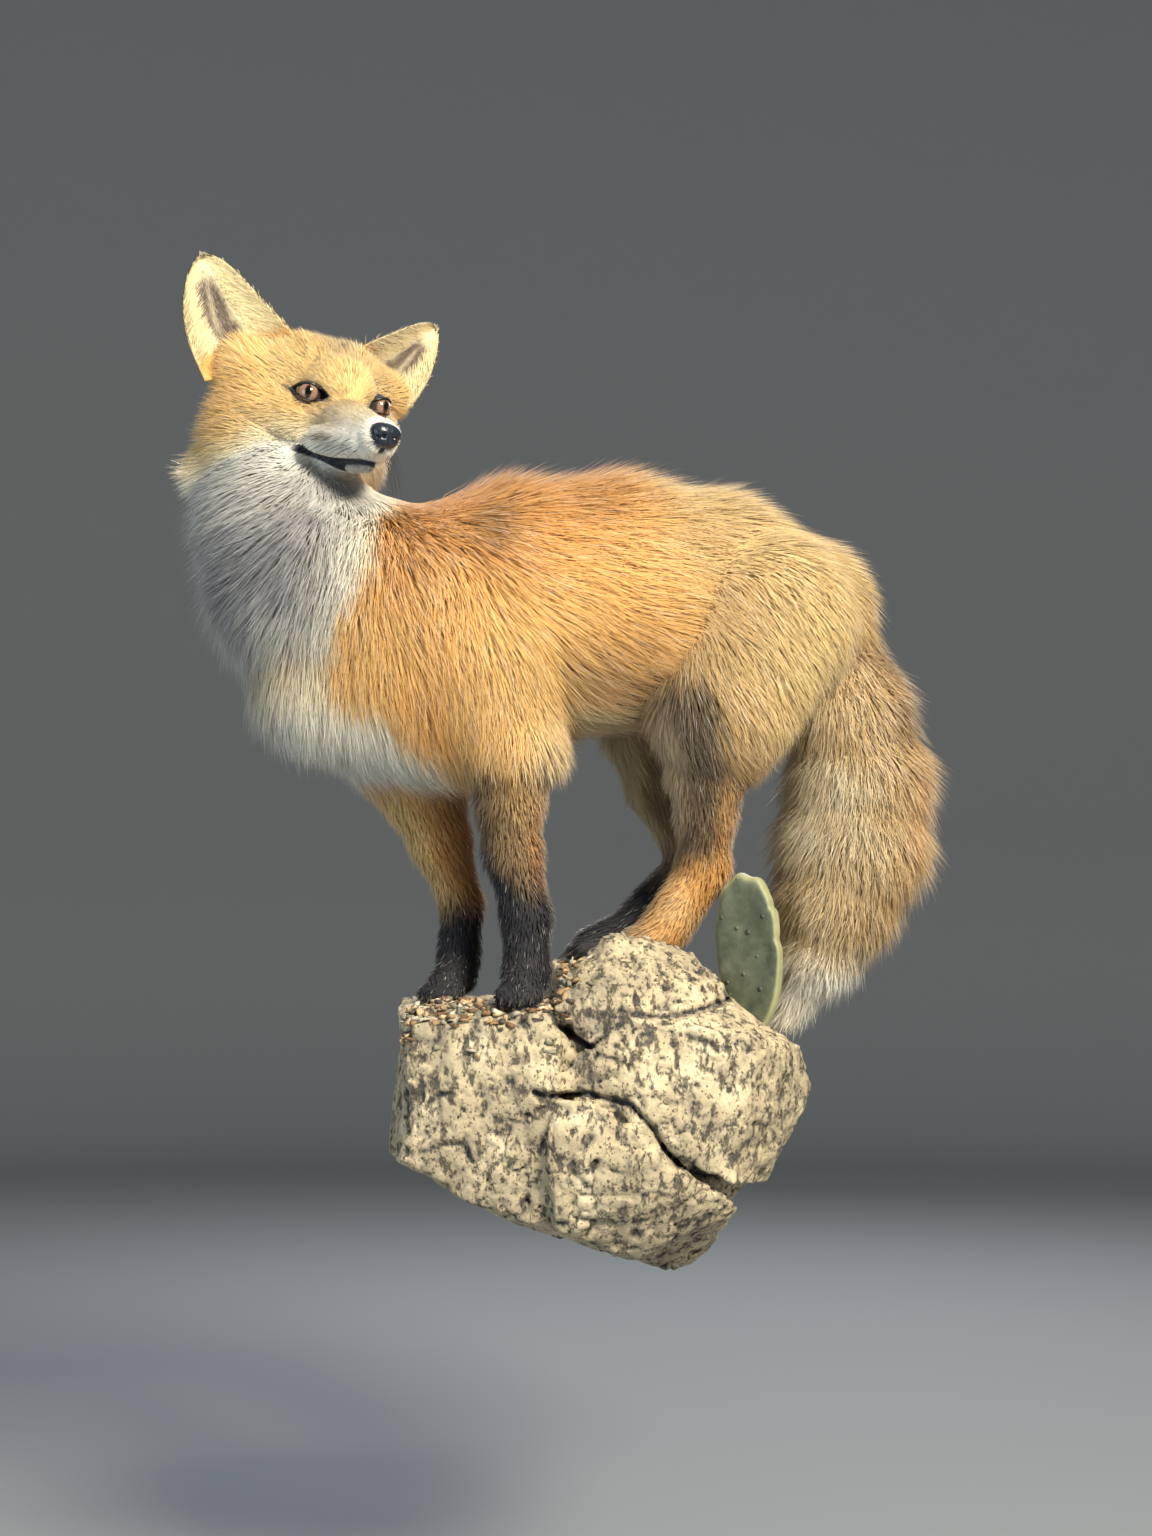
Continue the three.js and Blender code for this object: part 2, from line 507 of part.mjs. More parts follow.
face = face.subtract(solid(ellipsoidInHead(nosePlace, grownNose)));
// the lower jaw is parted along the line of the mouth, back to its corner
const mouth = { forward: 73, up: -45.5, slope: -0.12, length: 51, depth: 40 };
const mouthPlane = headDirection(mouth.slope, 0, -1);
const mouthPoint = vec(inHead(mouth.forward, 0, mouth.up));
const mouthCut = blockPast(mouthPoint.toArray(), mouthPlane, 2 * mouth.length, mouth.depth);
const belowMouth = mouthPoint.clone().addScaledVector(mouthPlane, gap).toArray();
const mouthPiece = blockPast(belowMouth, mouthPlane, 2 * (mouth.length - gap), mouth.depth - 1);
add('head', largest(face.subtract(mouthCut)), finish(colours.orange));
add('lower_jaw', largest(face.intersect(mouthPiece)), finish(colours.white));
add('nose', ellipsoidInHead(nosePlace, noseSize), finish(colours.nose, 0.25));
for (const [name, place] of Object.entries(eyePlaces)) {
  add(name, ball(place, eye.radius), finish(colours.eye, 0.08));
}

// ears: a cupped leaf between its roots and its tip, open to the front
const earGrid = { across: 6, along: 7, rootDepth: 0.2 };
const earTipWidth = 0.02;
const edgeWall = 0.35; // share of the wall's thickness at the ear's edges
function earShell({ inner, outer, tip }) {
  const [innerRoot, outerRoot, top] = [inner, outer, tip].map((p) => vec(inHead(...p)));
  const middle = innerRoot.clone().lerp(outerRoot, 0.5);
  const across = outerRoot.clone().sub(innerRoot).multiplyScalar(0.5);
  const along = top.clone().sub(middle);
  const open = across.clone().cross(along).normalize();
  if (open.dot(headAxis.forward) < 0) open.negate();
  const leaf = (wall) => Array.from({ length: earGrid.along + 1 }, (_, j) => {
    const v = -earGrid.rootDepth + ((1 + earGrid.rootDepth) * j) / earGrid.along;
    const rise = Math.max(v, 0);
    const width = (1 - rise) ** ear.edgePower * (1 + ear.belly * rise) + earTipWidth;
    const slide = ear.lean * Math.sin(Math.PI * rise);
    return Array.from({ length: earGrid.across + 1 }, (_, i) => {
      const u = (2 * i) / earGrid.across - 1;
      const fold = 1 - u * u; // deepest in the middle
      const hollow = (ear.cup * (1 - rise) ** ear.cupPower + ear.rim) * fold;
      const depth = hollow + wall * (edgeWall + (1 - edgeWall) * fold);
      return middle.clone()
        .addScaledVector(across, u * width + slide)
        .addScaledVector(along, v)
        .addScaledVector(open, -depth);
    });
  });
  const back = leaf(ear.wall);
  const shell = loft(leaf(0).map((row, j) => [...row, ...back[j].reverse()]));
  if (signedVolume(shell) < 0) shell.index.array.reverse();
  return solid(shell);
}
for (const [name, places] of Object.entries(earPlaces)) {
  add(name, largest(earShell(places).subtract(headGrown).subtract(torsoGrown)), finish(colours.cream));
}

// ---------------------------------------------------------------- tail
const tailNames = ['tailRoot', 'tailUpper', 'tailHigh', 'tailMiddle', 'tailLow', 'tailThin', 'tailTip'];
const tailPlaces = placesAlong(tailNames, 13);
const tailField = field(conesOf('tail'));
const tailEnd = tailPlaces.at(-1).clone().sub(tailPlaces.at(-2)).normalize();
const tailTipReaches = [8, 12.2]; // stations past the last bone
for (const reach of tailTipReaches) tailPlaces.push(vec(joints.tailTip).addScaledVector(tailEnd, reach));
const tailStart = tailPlaces[1].clone().sub(tailPlaces[0]).normalize();
const tailBury = 26; // how far the tail's root starts inside the rump
tailPlaces.unshift(tailPlaces[0].clone().addScaledVector(tailStart, -tailBury));
const tailSurface = castLoft(stationsAt(tailPlaces), tailField, { sectors: 14, reach: 90 });
let tailWhole = solid(tailSurface).subtract(torsoGrown);
const tailCuts = [['tail_base', 6], ['tail_middle', 10]]; // the station at the lower end of each
for (const [upper, place] of tailCuts) {
  const normal = tailPlaces[place + 1].clone().sub(tailPlaces[place - 1]).normalize();
  const [below, above] = part(tailWhole, tailPlaces[place].toArray(), normal, 300);
  add(upper, largest(above), finish(colours.tail));
  tailWhole = below;
}
add('tail_tip', largest(tailWhole), finish(colours.white));

// ---------------------------------------------------------------- legs and paws
const legLines = {
  frontLeft: ['elbowLeft', 'forearmLeft', 'forearmLowLeft', 'wristLeft', 'ankleLeft', 'pawLeft'],
  frontRight: ['elbowRight', 'forearmRight', 'wristRight', 'ankleRight', 'pawRight'],
  hindLeft: ['shankLeft', 'shankLowLeft', 'hockLeft', 'ballLeft', 'footLeft'],
  hindRight: ['kneeRight', 'shankRight', 'hockRight', 'ballRight', 'footRight'],
};
const legNodes = {
  frontLeft: ['front_left_leg', 'front_left_paw'], frontRight: ['front_right_leg', 'front_right_paw'],
  hindLeft: ['hind_left_leg', 'hind_left_paw'], hindRight: ['hind_right_leg', 'hind_right_paw'],
};
const legOverlap = 6; // the limb starts this far above its cut, which then trims it level
function pawLoft({ heel, tip, radius, coat }, cones) {
  const forward = vec(joints[tip]).sub(vec(joints[heel])).normalize();
  const back = vec(joints[heel]).addScaledVector(forward, -(radius + coat) * paw.heelShare);
  const front = vec(joints[tip]).addScaledVector(forward, paw.tipReach);
  const last = paw.stations - 1;
  const share = (i) => (1 - Math.cos((Math.PI * i) / last)) / 2; // closer together at both ends
  const places = Array.from({ length: paw.stations }, (_, i) => back.clone().lerp(front, share(i)));
  return castLoft(stationsAt(places), field(cones), { sectors: paw.sectors, reach: 40, step: 1 });
}
function clawOf(cone) {
  const way = cone.claw.clone().setZ(claw.dip).normalize();
  const reach = cone.radii[1] - claw.sink + claw.length / 2;
  const place = vec(cone.to).addScaledVector(cone.claw, reach);
  const spike = new THREE.ConeGeometry(claw.radius, claw.length, claw.sides);
  spike.applyQuaternion(new THREE.Quaternion().setFromUnitVectors(vec([0, 1, 0]), way));
  return solid(spike.translate(place.x, place.y, place.z + claw.lift));
}
const pawSpaces = [];
for (const [key, line] of Object.entries(legLines)) {
  const cutHeight = key.startsWith('front') ? foreCutHeight : hindCutHeight;
  const aboveLeg = blockPast([0, 0, cutHeight - gap], vec([0, 0, 1]), 900, 200);
  const places = placesAlong(line, 10);
  const start = places[0];
  if (start.z < cutHeight + legOverlap) places.unshift(start.clone().setZ(cutHeight + legOverlap));
  const stations = stationsAt(places);
  stations[0].normal = vec([0, 0, -1]);
  const limb = solid(castLoft(stations, field(conesOf(key)), { sectors: 10, reach: 75 }));
  const cones = pawCones(paws[key]);
  const surface = pawLoft(paws[key], cones);
  const grown = solid(swollen(surface));
  const clawed = cones.filter((cone) => cone.claw).reduce((body, cone) => body.add(clawOf(cone)), solid(surface));
  pawSpaces.push(clawed, grown);
  const [legName, pawName] = legNodes[key];
  add(legName, largest(limb.subtract(aboveLeg).subtract(grown)), finish(colours.dark));
  add(pawName, largest(clawed), finish(colours.dark));
}

// ---------------------------------------------------------------- rock and cactus
// each block of the rock is the hull of its corners; the narrow spaces between them are its cracks
const rockBlocks = {
  slab: [[-153, -90, 78], [-159, -60, 3], [-159, -80, -38], [-137, -228, 63], [-142, -222, -34], [-151, -150, 68],
    [-156, -150, -32], [-95, -238, 72], [-31, -232, 74], [-20, -200, -93], [-95, -215, -65], [-31, -240, 10],
    [-62, -120, -91], [-1, -90, 80], [14, -90, -109], [-120, -40, 80]],
  ledge: [[-30, -168, 97], [-38, -60, 108], [-20, -14, 108], [86, -30, 104], [84, -150, 96], [60, -176, 80],
    [-36, -170, 60], [100, -40, 60], [-44, -20, 70]],
  peak: [[15, -178, 131], [0, -192, 125], [-27, -206, 98], [-36, -232, 74], [-13, -238, 46], [13, -240, 72],
    [34, -215, 108], [30, -172, 129], [66, -172, 112], [87, -190, 90], [69, -225, 51], [-24, -160, 79], [90, -150, 60]],
  right: [[13, -238, 69], [92, -190, 82], [118, -200, 56], [145, -170, 44], [155, -150, 27], [151, -165, 11],
    [127, -180, -31], [123, -150, -53], [94, -222, -55], [54, -236, -31], [26, -240, 3], [-8, -236, 45],
    [100, -100, 74], [157, -60, 37], [149, -50, -25], [111, -235, 52]],
  wedge: [[-39, -238, 12], [-3, -242, 11], [18, -240, -1], [46, -238, -40], [95, -205, -63], [93, -160, -80],
    [86, -130, -99], [69, -120, -118], [47, -130, -123], [27, -190, -109], [-31, -215, -88], [-49, -180, -85],
    [-41, -240, -32], [26, -236, -60], [69, -60, -126], [-32, -60, -105]],
  core: [[-146, 0, 52], [-146, 0, -44], [-65, 0, -96], [48, 0, -124], [113, 0, -76], [150, 0, -20], [154, 0, 28],
    [98, 0, 77], [33, 0, 100], [-33, 0, 85], [-130, 0, 69], [-125, -210, 51], [-125, -200, -28], [-31, -225, 37],
    [-24, -190, -76], [67, -120, -94], [69, -215, -41], [125, -150, -10], [123, -180, 35], [71, -190, 72],
    [20, -190, 88]],
};
const hull = (points) => solid(new ConvexGeometry(points.map(vec)));
const pad = {
  width: 60, height: 122, thickness: 17, place: [111, -150, 113], turn: 28, lean: -4, footTaper: 0.22, sides: 24,
};
function cactusPad(grow = 0) {
  const shape = new THREE.Shape();
  for (let i = 0; i < pad.sides; i++) {
    const a = (2 * Math.PI * i) / pad.sides;
    const taper = 1 - pad.footTaper * (0.5 - 0.5 * Math.sin(a)); // narrower at the foot
    const x = (pad.width / 2 + grow) * Math.cos(a) * taper;
    const y = (pad.height / 2 + grow) * Math.sin(a);
    if (i === 0) shape.moveTo(x, y);
    else shape.lineTo(x, y);
  }
  shape.closePath();
  const bevel = pad.thickness * 0.35;
  const core = pad.thickness - 2 * bevel + 2 * grow;
  const inset = pad.thickness * 0.4;
  const g = new THREE.ExtrudeGeometry(shape, {
    depth: core, bevelEnabled: true, bevelThickness: bevel, bevelSize: inset, bevelOffset: -inset,
    bevelSegments: 2, curveSegments: 1,
  });
  g.translate(0, 0, -core / 2);
  g.rotateX(Math.PI / 2);
  g.rotateZ(degrees(pad.turn));
  g.rotateY(degrees(pad.lean));
  return g.translate(...pad.place);
}
let rock = Object.values(rockBlocks).map(hull).reduce((a, b) => a.add(b));
for (const space of pawSpaces) rock = rock.subtract(space);
const padSolid = solid(cactusPad());
rock = rock.subtract(solid(cactusPad(gap)));
add('rock', largest(rock), finish(colours.rock, 0.95));
add('cactus_pad', padSolid, finish(colours.cactus, 0.6));

export default fox;
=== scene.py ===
# A mounted red fox on an artificial rock with a prickly-pear pad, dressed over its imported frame.
# The body is a table of round cones. Their joined distance gives one skin, and the fur stands on
# it as solid tufts that reach the outside of the coat.
import math
import bpy
import bmesh
import numpy as np
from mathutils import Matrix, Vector


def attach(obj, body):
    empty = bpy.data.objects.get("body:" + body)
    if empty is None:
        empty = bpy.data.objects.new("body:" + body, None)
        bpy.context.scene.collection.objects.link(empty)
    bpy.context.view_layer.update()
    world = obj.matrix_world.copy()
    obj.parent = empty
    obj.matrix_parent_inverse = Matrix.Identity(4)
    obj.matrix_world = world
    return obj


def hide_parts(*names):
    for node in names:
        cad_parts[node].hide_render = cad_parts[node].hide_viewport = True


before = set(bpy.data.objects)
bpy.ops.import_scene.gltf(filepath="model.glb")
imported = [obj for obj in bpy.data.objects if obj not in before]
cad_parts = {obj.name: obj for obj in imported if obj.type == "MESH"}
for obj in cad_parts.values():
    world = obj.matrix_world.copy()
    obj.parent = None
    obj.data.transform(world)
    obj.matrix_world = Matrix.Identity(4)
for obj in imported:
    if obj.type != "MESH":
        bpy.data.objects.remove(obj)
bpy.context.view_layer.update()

millimetre = 0.001


# ---- small helpers for arrays
def unit(v):
    return v / np.maximum(np.linalg.norm(v, axis=-1, keepdims=True), 1e-9)


def dot(a, b):
    return (a * b).sum(-1)


# 0 below low, 1 above high, a cubic between them
def smooth(low, high, x):
    t = np.clip((x - low) / (high - low), 0, 1)
    return t * t * (3 - 2 * t)


def mix(a, b, share):
    share = np.asarray(share)[..., None]
    return a * (1 - share) + b * share


# a colour with rows laid over it in turn, each a tone and its share
def layered(colour, *rows):
    for tone, share in rows:
        colour = mix(colour, tones[tone], share)
    return colour


def triangles(quads):
    return np.concatenate([quads[:, [0, 1, 2]], quads[:, [0, 2, 3]]])


# faces between the rows of a grid that closes round each row, wound the other way where asked
def ringFaces(index, turned=False):
    after = np.roll(index, -1, 1)
    corners = [index[:-1], index[1:], after[1:], after[:-1]]
    if turned:
        corners = [corners[0]] + corners[:0:-1]
    return triangles(np.stack(corners, -1).reshape(-1, 4))


# faces turned over where, seen from a middle, they would enclose less than nothing
def facingOut(points, faces, middle=0):
    corner = points[faces] - middle
    volume = dot(corner[:, 0], np.cross(corner[:, 1], corner[:, 2])).sum()
    return faces[:, ::-1] if volume < 0 else faces


tableSize = 32
noiseTable = np.random.default_rng(7).random((tableSize,) * 3).astype(np.float32)


# smooth noise from -1 to 1: random numbers a size apart, blended by a cubic
def noise(points, size, shift=0.0):
    q = np.asarray(points, np.float32) / size + shift
    cell = np.floor(q).astype(int)
    t = q - cell
    t = t * t * (3 - 2 * t)
    cell = cell % tableSize
    after = (cell + 1) % tableSize
    total = 0
    for dx in (0, 1):
        for dy in (0, 1):
            for dz in (0, 1):
                i = (after if dx else cell)[..., 0]
                j = (after if dy else cell)[..., 1]
                k = (after if dz else cell)[..., 2]
                w = (t[..., 0] if dx else 1 - t[..., 0]) * (t[..., 1] if dy else 1 - t[..., 1])
                total = total + w * (t[..., 2] if dz else 1 - t[..., 2]) * noiseTable[i, j, k]
    return 2 * total - 1


def noiseVector(points, size):
    return np.stack([noise(points, size, shift) for shift in (3.1, 11.7, 23.3)], -1)


# ---- the head's own frame: forward to the nose, side to the fox's right, up through the crown
headPlace = np.array([-190.0, -225.0, 518.0])
headTurn = dict(yaw=32, pitch=-10.5, roll=5)


def headAxes(yaw, pitch, roll):
    a, b, c = (math.radians(v) for v in (yaw, pitch, roll))
    forward = np.array([math.sin(a) * math.cos(b), -math.cos(a) * math.cos(b), math.sin(b)])
    level = unit(np.cross(forward, [0, 0, 1]))
    upright = np.cross(level, forward)
    return forward, level * math.cos(c) + upright * math.sin(c), upright * math.cos(c) - level * math.sin(c)


headBasis = np.stack(headAxes(**headTurn))


def inHead(f, s, u):
    return headPlace + np.array([f, s, u]) @ headBasis


def toHead(points):
    return (points - headPlace) @ headBasis.T


# ---- the skeleton, in millimetres
joints = dict(
    rump=[149, -92, 381], loin=[81, -105, 397], back=[7, -125, 384],
    ribs=[-62, -145, 373], chest=[-133, -165, 345], foreChest=[-202, -185, 334],
    neckRoot=[-133, -165, 365], neckMiddle=[-209, -185, 395], throat=[-234, -192, 451],
    shoulderLeft=[-98, -190, 338], elbowLeft=[-67, -200, 266], forearmLeft=[-68, -198, 225],
    forearmLowLeft=[-66, -194, 189], wristLeft=[-56, -190, 141], ankleLeft=[-55, -194, 106],
    pawLeft=[-56, -200, 96], pawTipLeft=[-59, -216, 90],
    shoulderRight=[-165, -135, 307], elbowRight=[-139, -120, 243], forearmRight=[-124, -116, 201],
    wristRight=[-107, -112, 151], ankleRight=[-109, -115, 112],
    pawRight=[-111, -124, 98], pawTipRight=[-118, -140, 91],
    hipLeft=[122, -130, 369], kneeLeft=[90, -150, 301], shankLeft=[79, -145, 252],
    shankLowLeft=[79, -138, 222], hockLeft=[78, -130, 179], ballLeft=[50, -136, 135],
    footLeft=[40, -138, 124], footTipLeft=[14, -142, 114],
    hipRight=[125, -65, 379], kneeRight=[40, -52, 301], shankRight=[40, -48, 244],
    hockRight=[71, -50, 188], ballRight=[31, -58, 143],
    footRight=[20, -60, 133], footTipRight=[-8, -64, 124],
    tailRoot=[180, -84, 356], tailUpper=[194, -78, 306], tailHigh=[203, -73, 252],
    tailMiddle=[198, -74, 203], tailLow=[185, -78, 156], tailThin=[170, -80, 114],
    tailTip=[143, -76, 62],
)
headJoints = dict(
    nape=[-50, 0, -5], crown=[-42, 0, 3], brow=[-12, 0, 3], bridge=[4, 0, -18],
    snout=[69, 0, -29.5], jawRoot=[-14, 0, -34], chin=[57, 0, -46],
    cheekRight=[-26, 22, -22], jowlRight=[-42, 48, -35], ruffRight=[-60, 78, -76],
    cheekLeft=[-26, -22, -22], jowlLeft=[-42, -34, -35], ruffLeft=[-54, -50, -60],
    crownRight=[-44, 24, 13], earRootRight=[-46, 60, 14],
    crownLeft=[-44, -24, 14], earRootLeft=[-46, -52, 15],
    templeRight=[-20, 26, -4], cheekboneRight=[-34, 44, -12],
    templeLeft=[-9, -26, -3], cheekboneLeft=[-34, -41, -12],
    lipRight=[60, 8, -35], lipBackRight=[20, 18, -36],
    lipLeft=[60, -8, -35], lipBackLeft=[20, -18, -36],
)
joints = {name: np.array(place, float) for name, place in joints.items()}
joints.update({name: inHead(*place) for name, place in headJoints.items()})

# rows: region, from, to, skin radii, coat depths, blend, squash across the trunk
trunkSquash = 1.22
flesh = [
    ("trunk", "rump", "loin", 50, 58, 16, 18, 25, trunkSquash),
    ("trunk", "loin", "back", 58, 76, 18, 22, 25, trunkSquash),
    ("trunk", "back", "ribs", 76, 78, 22, 20, 25, trunkSquash),
    ("trunk", "ribs", "chest", 78, 78, 20, 26, 25, trunkSquash),
    ("trunk", "chest", "foreChest", 74, 45, 26, 26, 25, 1.05),
    ("neck", "neckRoot", "neckMiddle", 61, 56, 24, 28, 25, 1),
    ("neck", "neckMiddle", "throat", 56, 44, 28, 28, 25, 1),
    ("neck", "throat", "nape", 42, 36, 24, 14, 20, 1),
    ("head", "crown", "brow", 36, 26, 7, 3, 8, 1),
    ("head", "bridge", "snout", 18, 12, 3, 1.5, 8, 1),
    ("head", "jawRoot", "chin", 20, 7.8, 4, 1.2, 6, 1),
    ("head", "cheekRight", "jowlRight", 22, 18, 7, 14, 17, 1),
    ("head", "cheekLeft", "jowlLeft", 22, 16, 7, 11, 10, 1),
    ("head", "jowlRight", "ruffRight", 14, 0, 14, 10, 16, 1),
    ("head", "jowlLeft", "ruffLeft", 14, 0, 11, 15, 16, 1),
    ("head", "crownRight", "earRootRight", 26, 10, 6, 6, 14, 1),
    ("head", "earRootRight", "jowlRight", 9, 17, 9, 15, 14, 1),
    ("head", "crownLeft", "earRootLeft", 26, 13, 6, 7, 14, 1),
    ("head", "templeRight", "cheekboneRight", 10, 16, 3, 8, 10, 1),
    ("head", "templeLeft", "cheekboneLeft", 12, 16, 3, 5, 10, 1),
    ("head", "lipRight", "lipBackRight", 7.6, 10.5, 1.4, 2.5, 6, 1),
    ("head", "lipLeft", "lipBackLeft", 7.6, 10.5, 1.4, 2.5, 6, 1),
    ("frontLeft", "shoulderLeft", "elbowLeft", 44, 29, 18, 10, 14, 1),
    ("frontLeft", "elbowLeft", "forearmLeft", 29, 19, 10, 8, 10, 1),
    ("frontLeft", "forearmLeft", "forearmLowLeft", 19, 16, 8, 7, 10, 1),
    ("frontLeft", "forearmLowLeft", "wristLeft", 16, 14, 7, 5, 10, 1),
    ("frontLeft", "wristLeft", "ankleLeft", 14, 15, 5, 4, 10, 1),
    ("frontRight", "shoulderRight", "elbowRight", 42, 26, 18, 10, 14, 1),
    ("frontRight", "elbowRight", "forearmRight", 26, 18, 10, 7, 10, 1),
    ("frontRight", "forearmRight", "wristRight", 18, 12, 7, 5, 10, 1),
    ("frontRight", "wristRight", "ankleRight", 12, 14.5, 5, 4, 10, 1),
    ("hindLeft", "hipLeft", "kneeLeft", 58, 42, 14, 14, 14, 1),
    ("hindLeft", "kneeLeft", "shankLeft", 42, 22, 14, 10, 10, 1),
    ("hindLeft", "shankLeft", "shankLowLeft", 22, 17, 10, 8, 10, 1),
    ("hindLeft", "shankLowLeft", "hockLeft", 17, 15, 8, 6, 10, 1),
    ("hindLeft", "hockLeft", "ballLeft", 15, 16, 6, 6, 10, 1),
    ("hindRight", "hipRight", "kneeRight", 46, 29, 14, 11, 14, 1),
    ("hindRight", "kneeRight", "shankRight", 29, 14, 11, 6, 10, 1),
    ("hindRight", "shankRight", "hockRight", 14, 12, 6, 5, 10, 1),
    ("hindRight", "hockRight", "ballRight", 12, 14.5, 5, 4, 10, 1),
    ("tail", "tailRoot", "tailUpper", 24, 28, 19, 25, 14, 1),
    ("tail", "tailUpper", "tailHigh", 28, 32, 25, 28, 14, 1),
    ("tail", "tailHigh", "tailMiddle", 32, 33, 28, 31, 14, 1),
    ("tail", "tailMiddle", "tailLow", 33, 24, 31, 26, 14, 1),
    ("tail", "tailLow", "tailThin", 24, 14, 26, 18, 14, 1),
    ("tail", "tailThin", "tailTip", 14, 4, 18, 9, 14, 1),
]
paws = dict(
    frontLeft=dict(heel="pawLeft", tip="pawTipLeft", radius=16, coat=3),
    frontRight=dict(heel="pawRight", tip="pawTipRight", radius=15, coat=3),
    hindLeft=dict(heel="footLeft", tip="footTipLeft", radius=15, coat=4),
    hindRight=dict(heel="footRight", tip="footTipRight", radius=14, coat=3),
)
pawShape = dict(taper=4, blend=6)
toe = dict(count=4, radius=7.6, taper=0.8, coat=1.4, reach=14, splay=5.2, fan=2, drop=4, blend=3)
trunkSide = np.cross(unit((joints["chest"] - joints["rump"]) * [1, 1, 0]), [0, 0, 1])


def coneRows():
    rows = []
    for region, a, b, skinA, skinB, coatA, coatB, blend, squash in flesh:
        rows.append({"region": region, "from": a, "a": joints[a], "b": joints[b], "skin": (skinA, skinB),
                     "coat": (coatA, coatB), "blend": blend, "squash": squash})
    for region, paw in paws.items():
        back, front = joints[paw["heel"]], joints[paw["tip"]]
        forward = unit(front - back)
        across = unit(np.cross(forward, [0, 0, 1]))
        r, coat = paw["radius"], paw["coat"]
        rows.append({"region": region, "from": "paw", "a": back, "b": front, "coat": (coat, coat),
                     "skin": (r, r - pawShape["taper"]), "blend": pawShape["blend"], "squash": 1})
        for i in range(toe["count"]):
            place = i - (toe["count"] - 1) / 2
            share = 1 - abs(place) / toe["count"]
            root = front + across * place * toe["splay"] - np.array([0, 0, toe["drop"]])
            end = root + forward * toe["reach"] * share + across * place * toe["fan"]
            rows.append({"region": region, "from": "toe", "a": root, "b": end, "toe": forward, "squash": 1,
                         "skin": (toe["radius"], toe["radius"] - toe["taper"]),
                         "coat": (toe["coat"], toe["coat"]), "blend": toe["blend"]})
    return rows


cones = coneRows()
regions = ["trunk", "neck", "head", "frontLeft", "frontRight", "hindLeft", "hindRight", "tail",
           "earRight", "earLeft"]
firstEar = regions.index("earRight")
deepestCoat = 60  # the coat is never taken to be deeper than this


# two distances joined with a soft fillet of the given width
def softJoin(a, b, width):
    h = np.maximum(width - np.abs(a - b), 0) / width
    return np.minimum(a, b) - h * h * width / 4


# distance of points from a cone's middle line, and the share of the way along it; the points may
# be three broadcast arrays
def fromLine(x, y, z, cone):
    sx, sy = trunkSide[0], trunkSide[1]
    k = cone["squash"] - 1
    qx, qy, qz = x - cone["a"][0], y - cone["a"][1], z - cone["a"][2]
    d = cone["b"] - cone["a"]
    across = (qx * sx + qy * sy) * k
    qx, qy = qx + across * sx, qy + across * sy
    dAcross = (d[0] * sx + d[1] * sy) * k
    d[0] += dAcross * sx
    d[1] += dAcross * sy
    dd = (d * d).sum()
    along = (qx * d[0] + qy * d[1]) + qz * d[2]
    t = np.clip(along / dd, 0, 1)
    off = np.sqrt(np.maximum((qx * qx + qy * qy) + qz * qz - 2 * t * along + t * t * dd, 0))
    return off, t


# ---- distances to the skin and to the outside of the coat, on a grid that is finest at the head
def gridLine(*spans):
    parts = [np.arange(low, high, step) for low, high, step in spans]
    return np.concatenate(parts).astype(np.float32)


# how far off a point counts where no cone is near, and the room left round each cone
field = dict(far=300, spare=14)
gridLines = [
    gridLine((-292, -250, 2.8), (-250, -142, 1.5), (-142, 62, 3.0), (62, 250, 4.4)),
    gridLine((-292, -200, 1.5), (-200, -40, 3.2), (-40, 12, 4.4)),
    gridLine((66, 150, 2.6), (150, 438, 4.4), (438, 545, 1.5), (545, 578, 2.8)),
]


def onGrid(lines, low, high):
    return tuple(slice(max(int(np.searchsorted(g, a)) - 1, 0), int(np.searchsorted(g, b)) + 1)
                 for g, a, b in zip(lines, low, high))


def bodyDistances(lines):
    shape = [len(g) for g in lines]
    skin = np.full(shape, field["far"], np.float32)
    coat = np.full(shape, field["far"], np.float32)
    for cone in cones:
        outer = max(cone["skin"][0] + cone["coat"][0], cone["skin"][1] + cone["coat"][1])
        margin = outer + cone["blend"] + field["spare"]
        box = onGrid(lines, np.minimum(cone["a"], cone["b"]) - margin,
                     np.maximum(cone["a"], cone["b"]) + margin)
        x = lines[0][box[0]][:, None, None]
        y = lines[1][box[1]][None, :, None]
        z = lines[2][box[2]][None, None, :]
        off, t = fromLine(x, y, z, cone)
        skinRadius = cone["skin"][0] + (cone["skin"][1] - cone["skin"][0]) * t
        coatDepth = cone["coat"][0] + (cone["coat"][1] - cone["coat"][0]) * t
        skin[box] = softJoin(skin[box], off - skinRadius, cone["blend"])
        coat[box] = softJoin(coat[box], off - skinRadius - coatDepth, cone["blend"])
    return skin, coat


eye = dict(radius=10.6, gazeUp=2, proud=0.55, sunk=0.35, cornea=0.62)
glance = {1: 0.0, -1: 0.13}  # how far the iris of each eye is slid across it
eyePlaces = {1: dict(place=(-8.2, 24.2, -1), gazeOut=27), -1: dict(place=(-3, -28.5, 0.5), gazeOut=24)}
lids = dict(halfWidth=14.2, upper=6.2, lower=5.4, edge=1.0, shift=0.4, tilt=0.07)
mouthLine = dict(level=-47.3, frontRise=3.6, backRise=7.0, back=1, groove=2.4, width=1.3,
                 lip=1.3, lipHeight=4.2, lipWidth=3.2, tuck=0.5)
faceFolds = [  # for both sides: middle, size, and how far in the skin is drawn
    ((13, 16, -8), (12, 7, 7), 2.4),  # hollow before the eye
    ((-8, 20, 13), (10, 8, 4.5), -1.5),  # brow
    ((2, 27, -15), (16, 10, 3.0), 0.8),  # fold under the eye
]


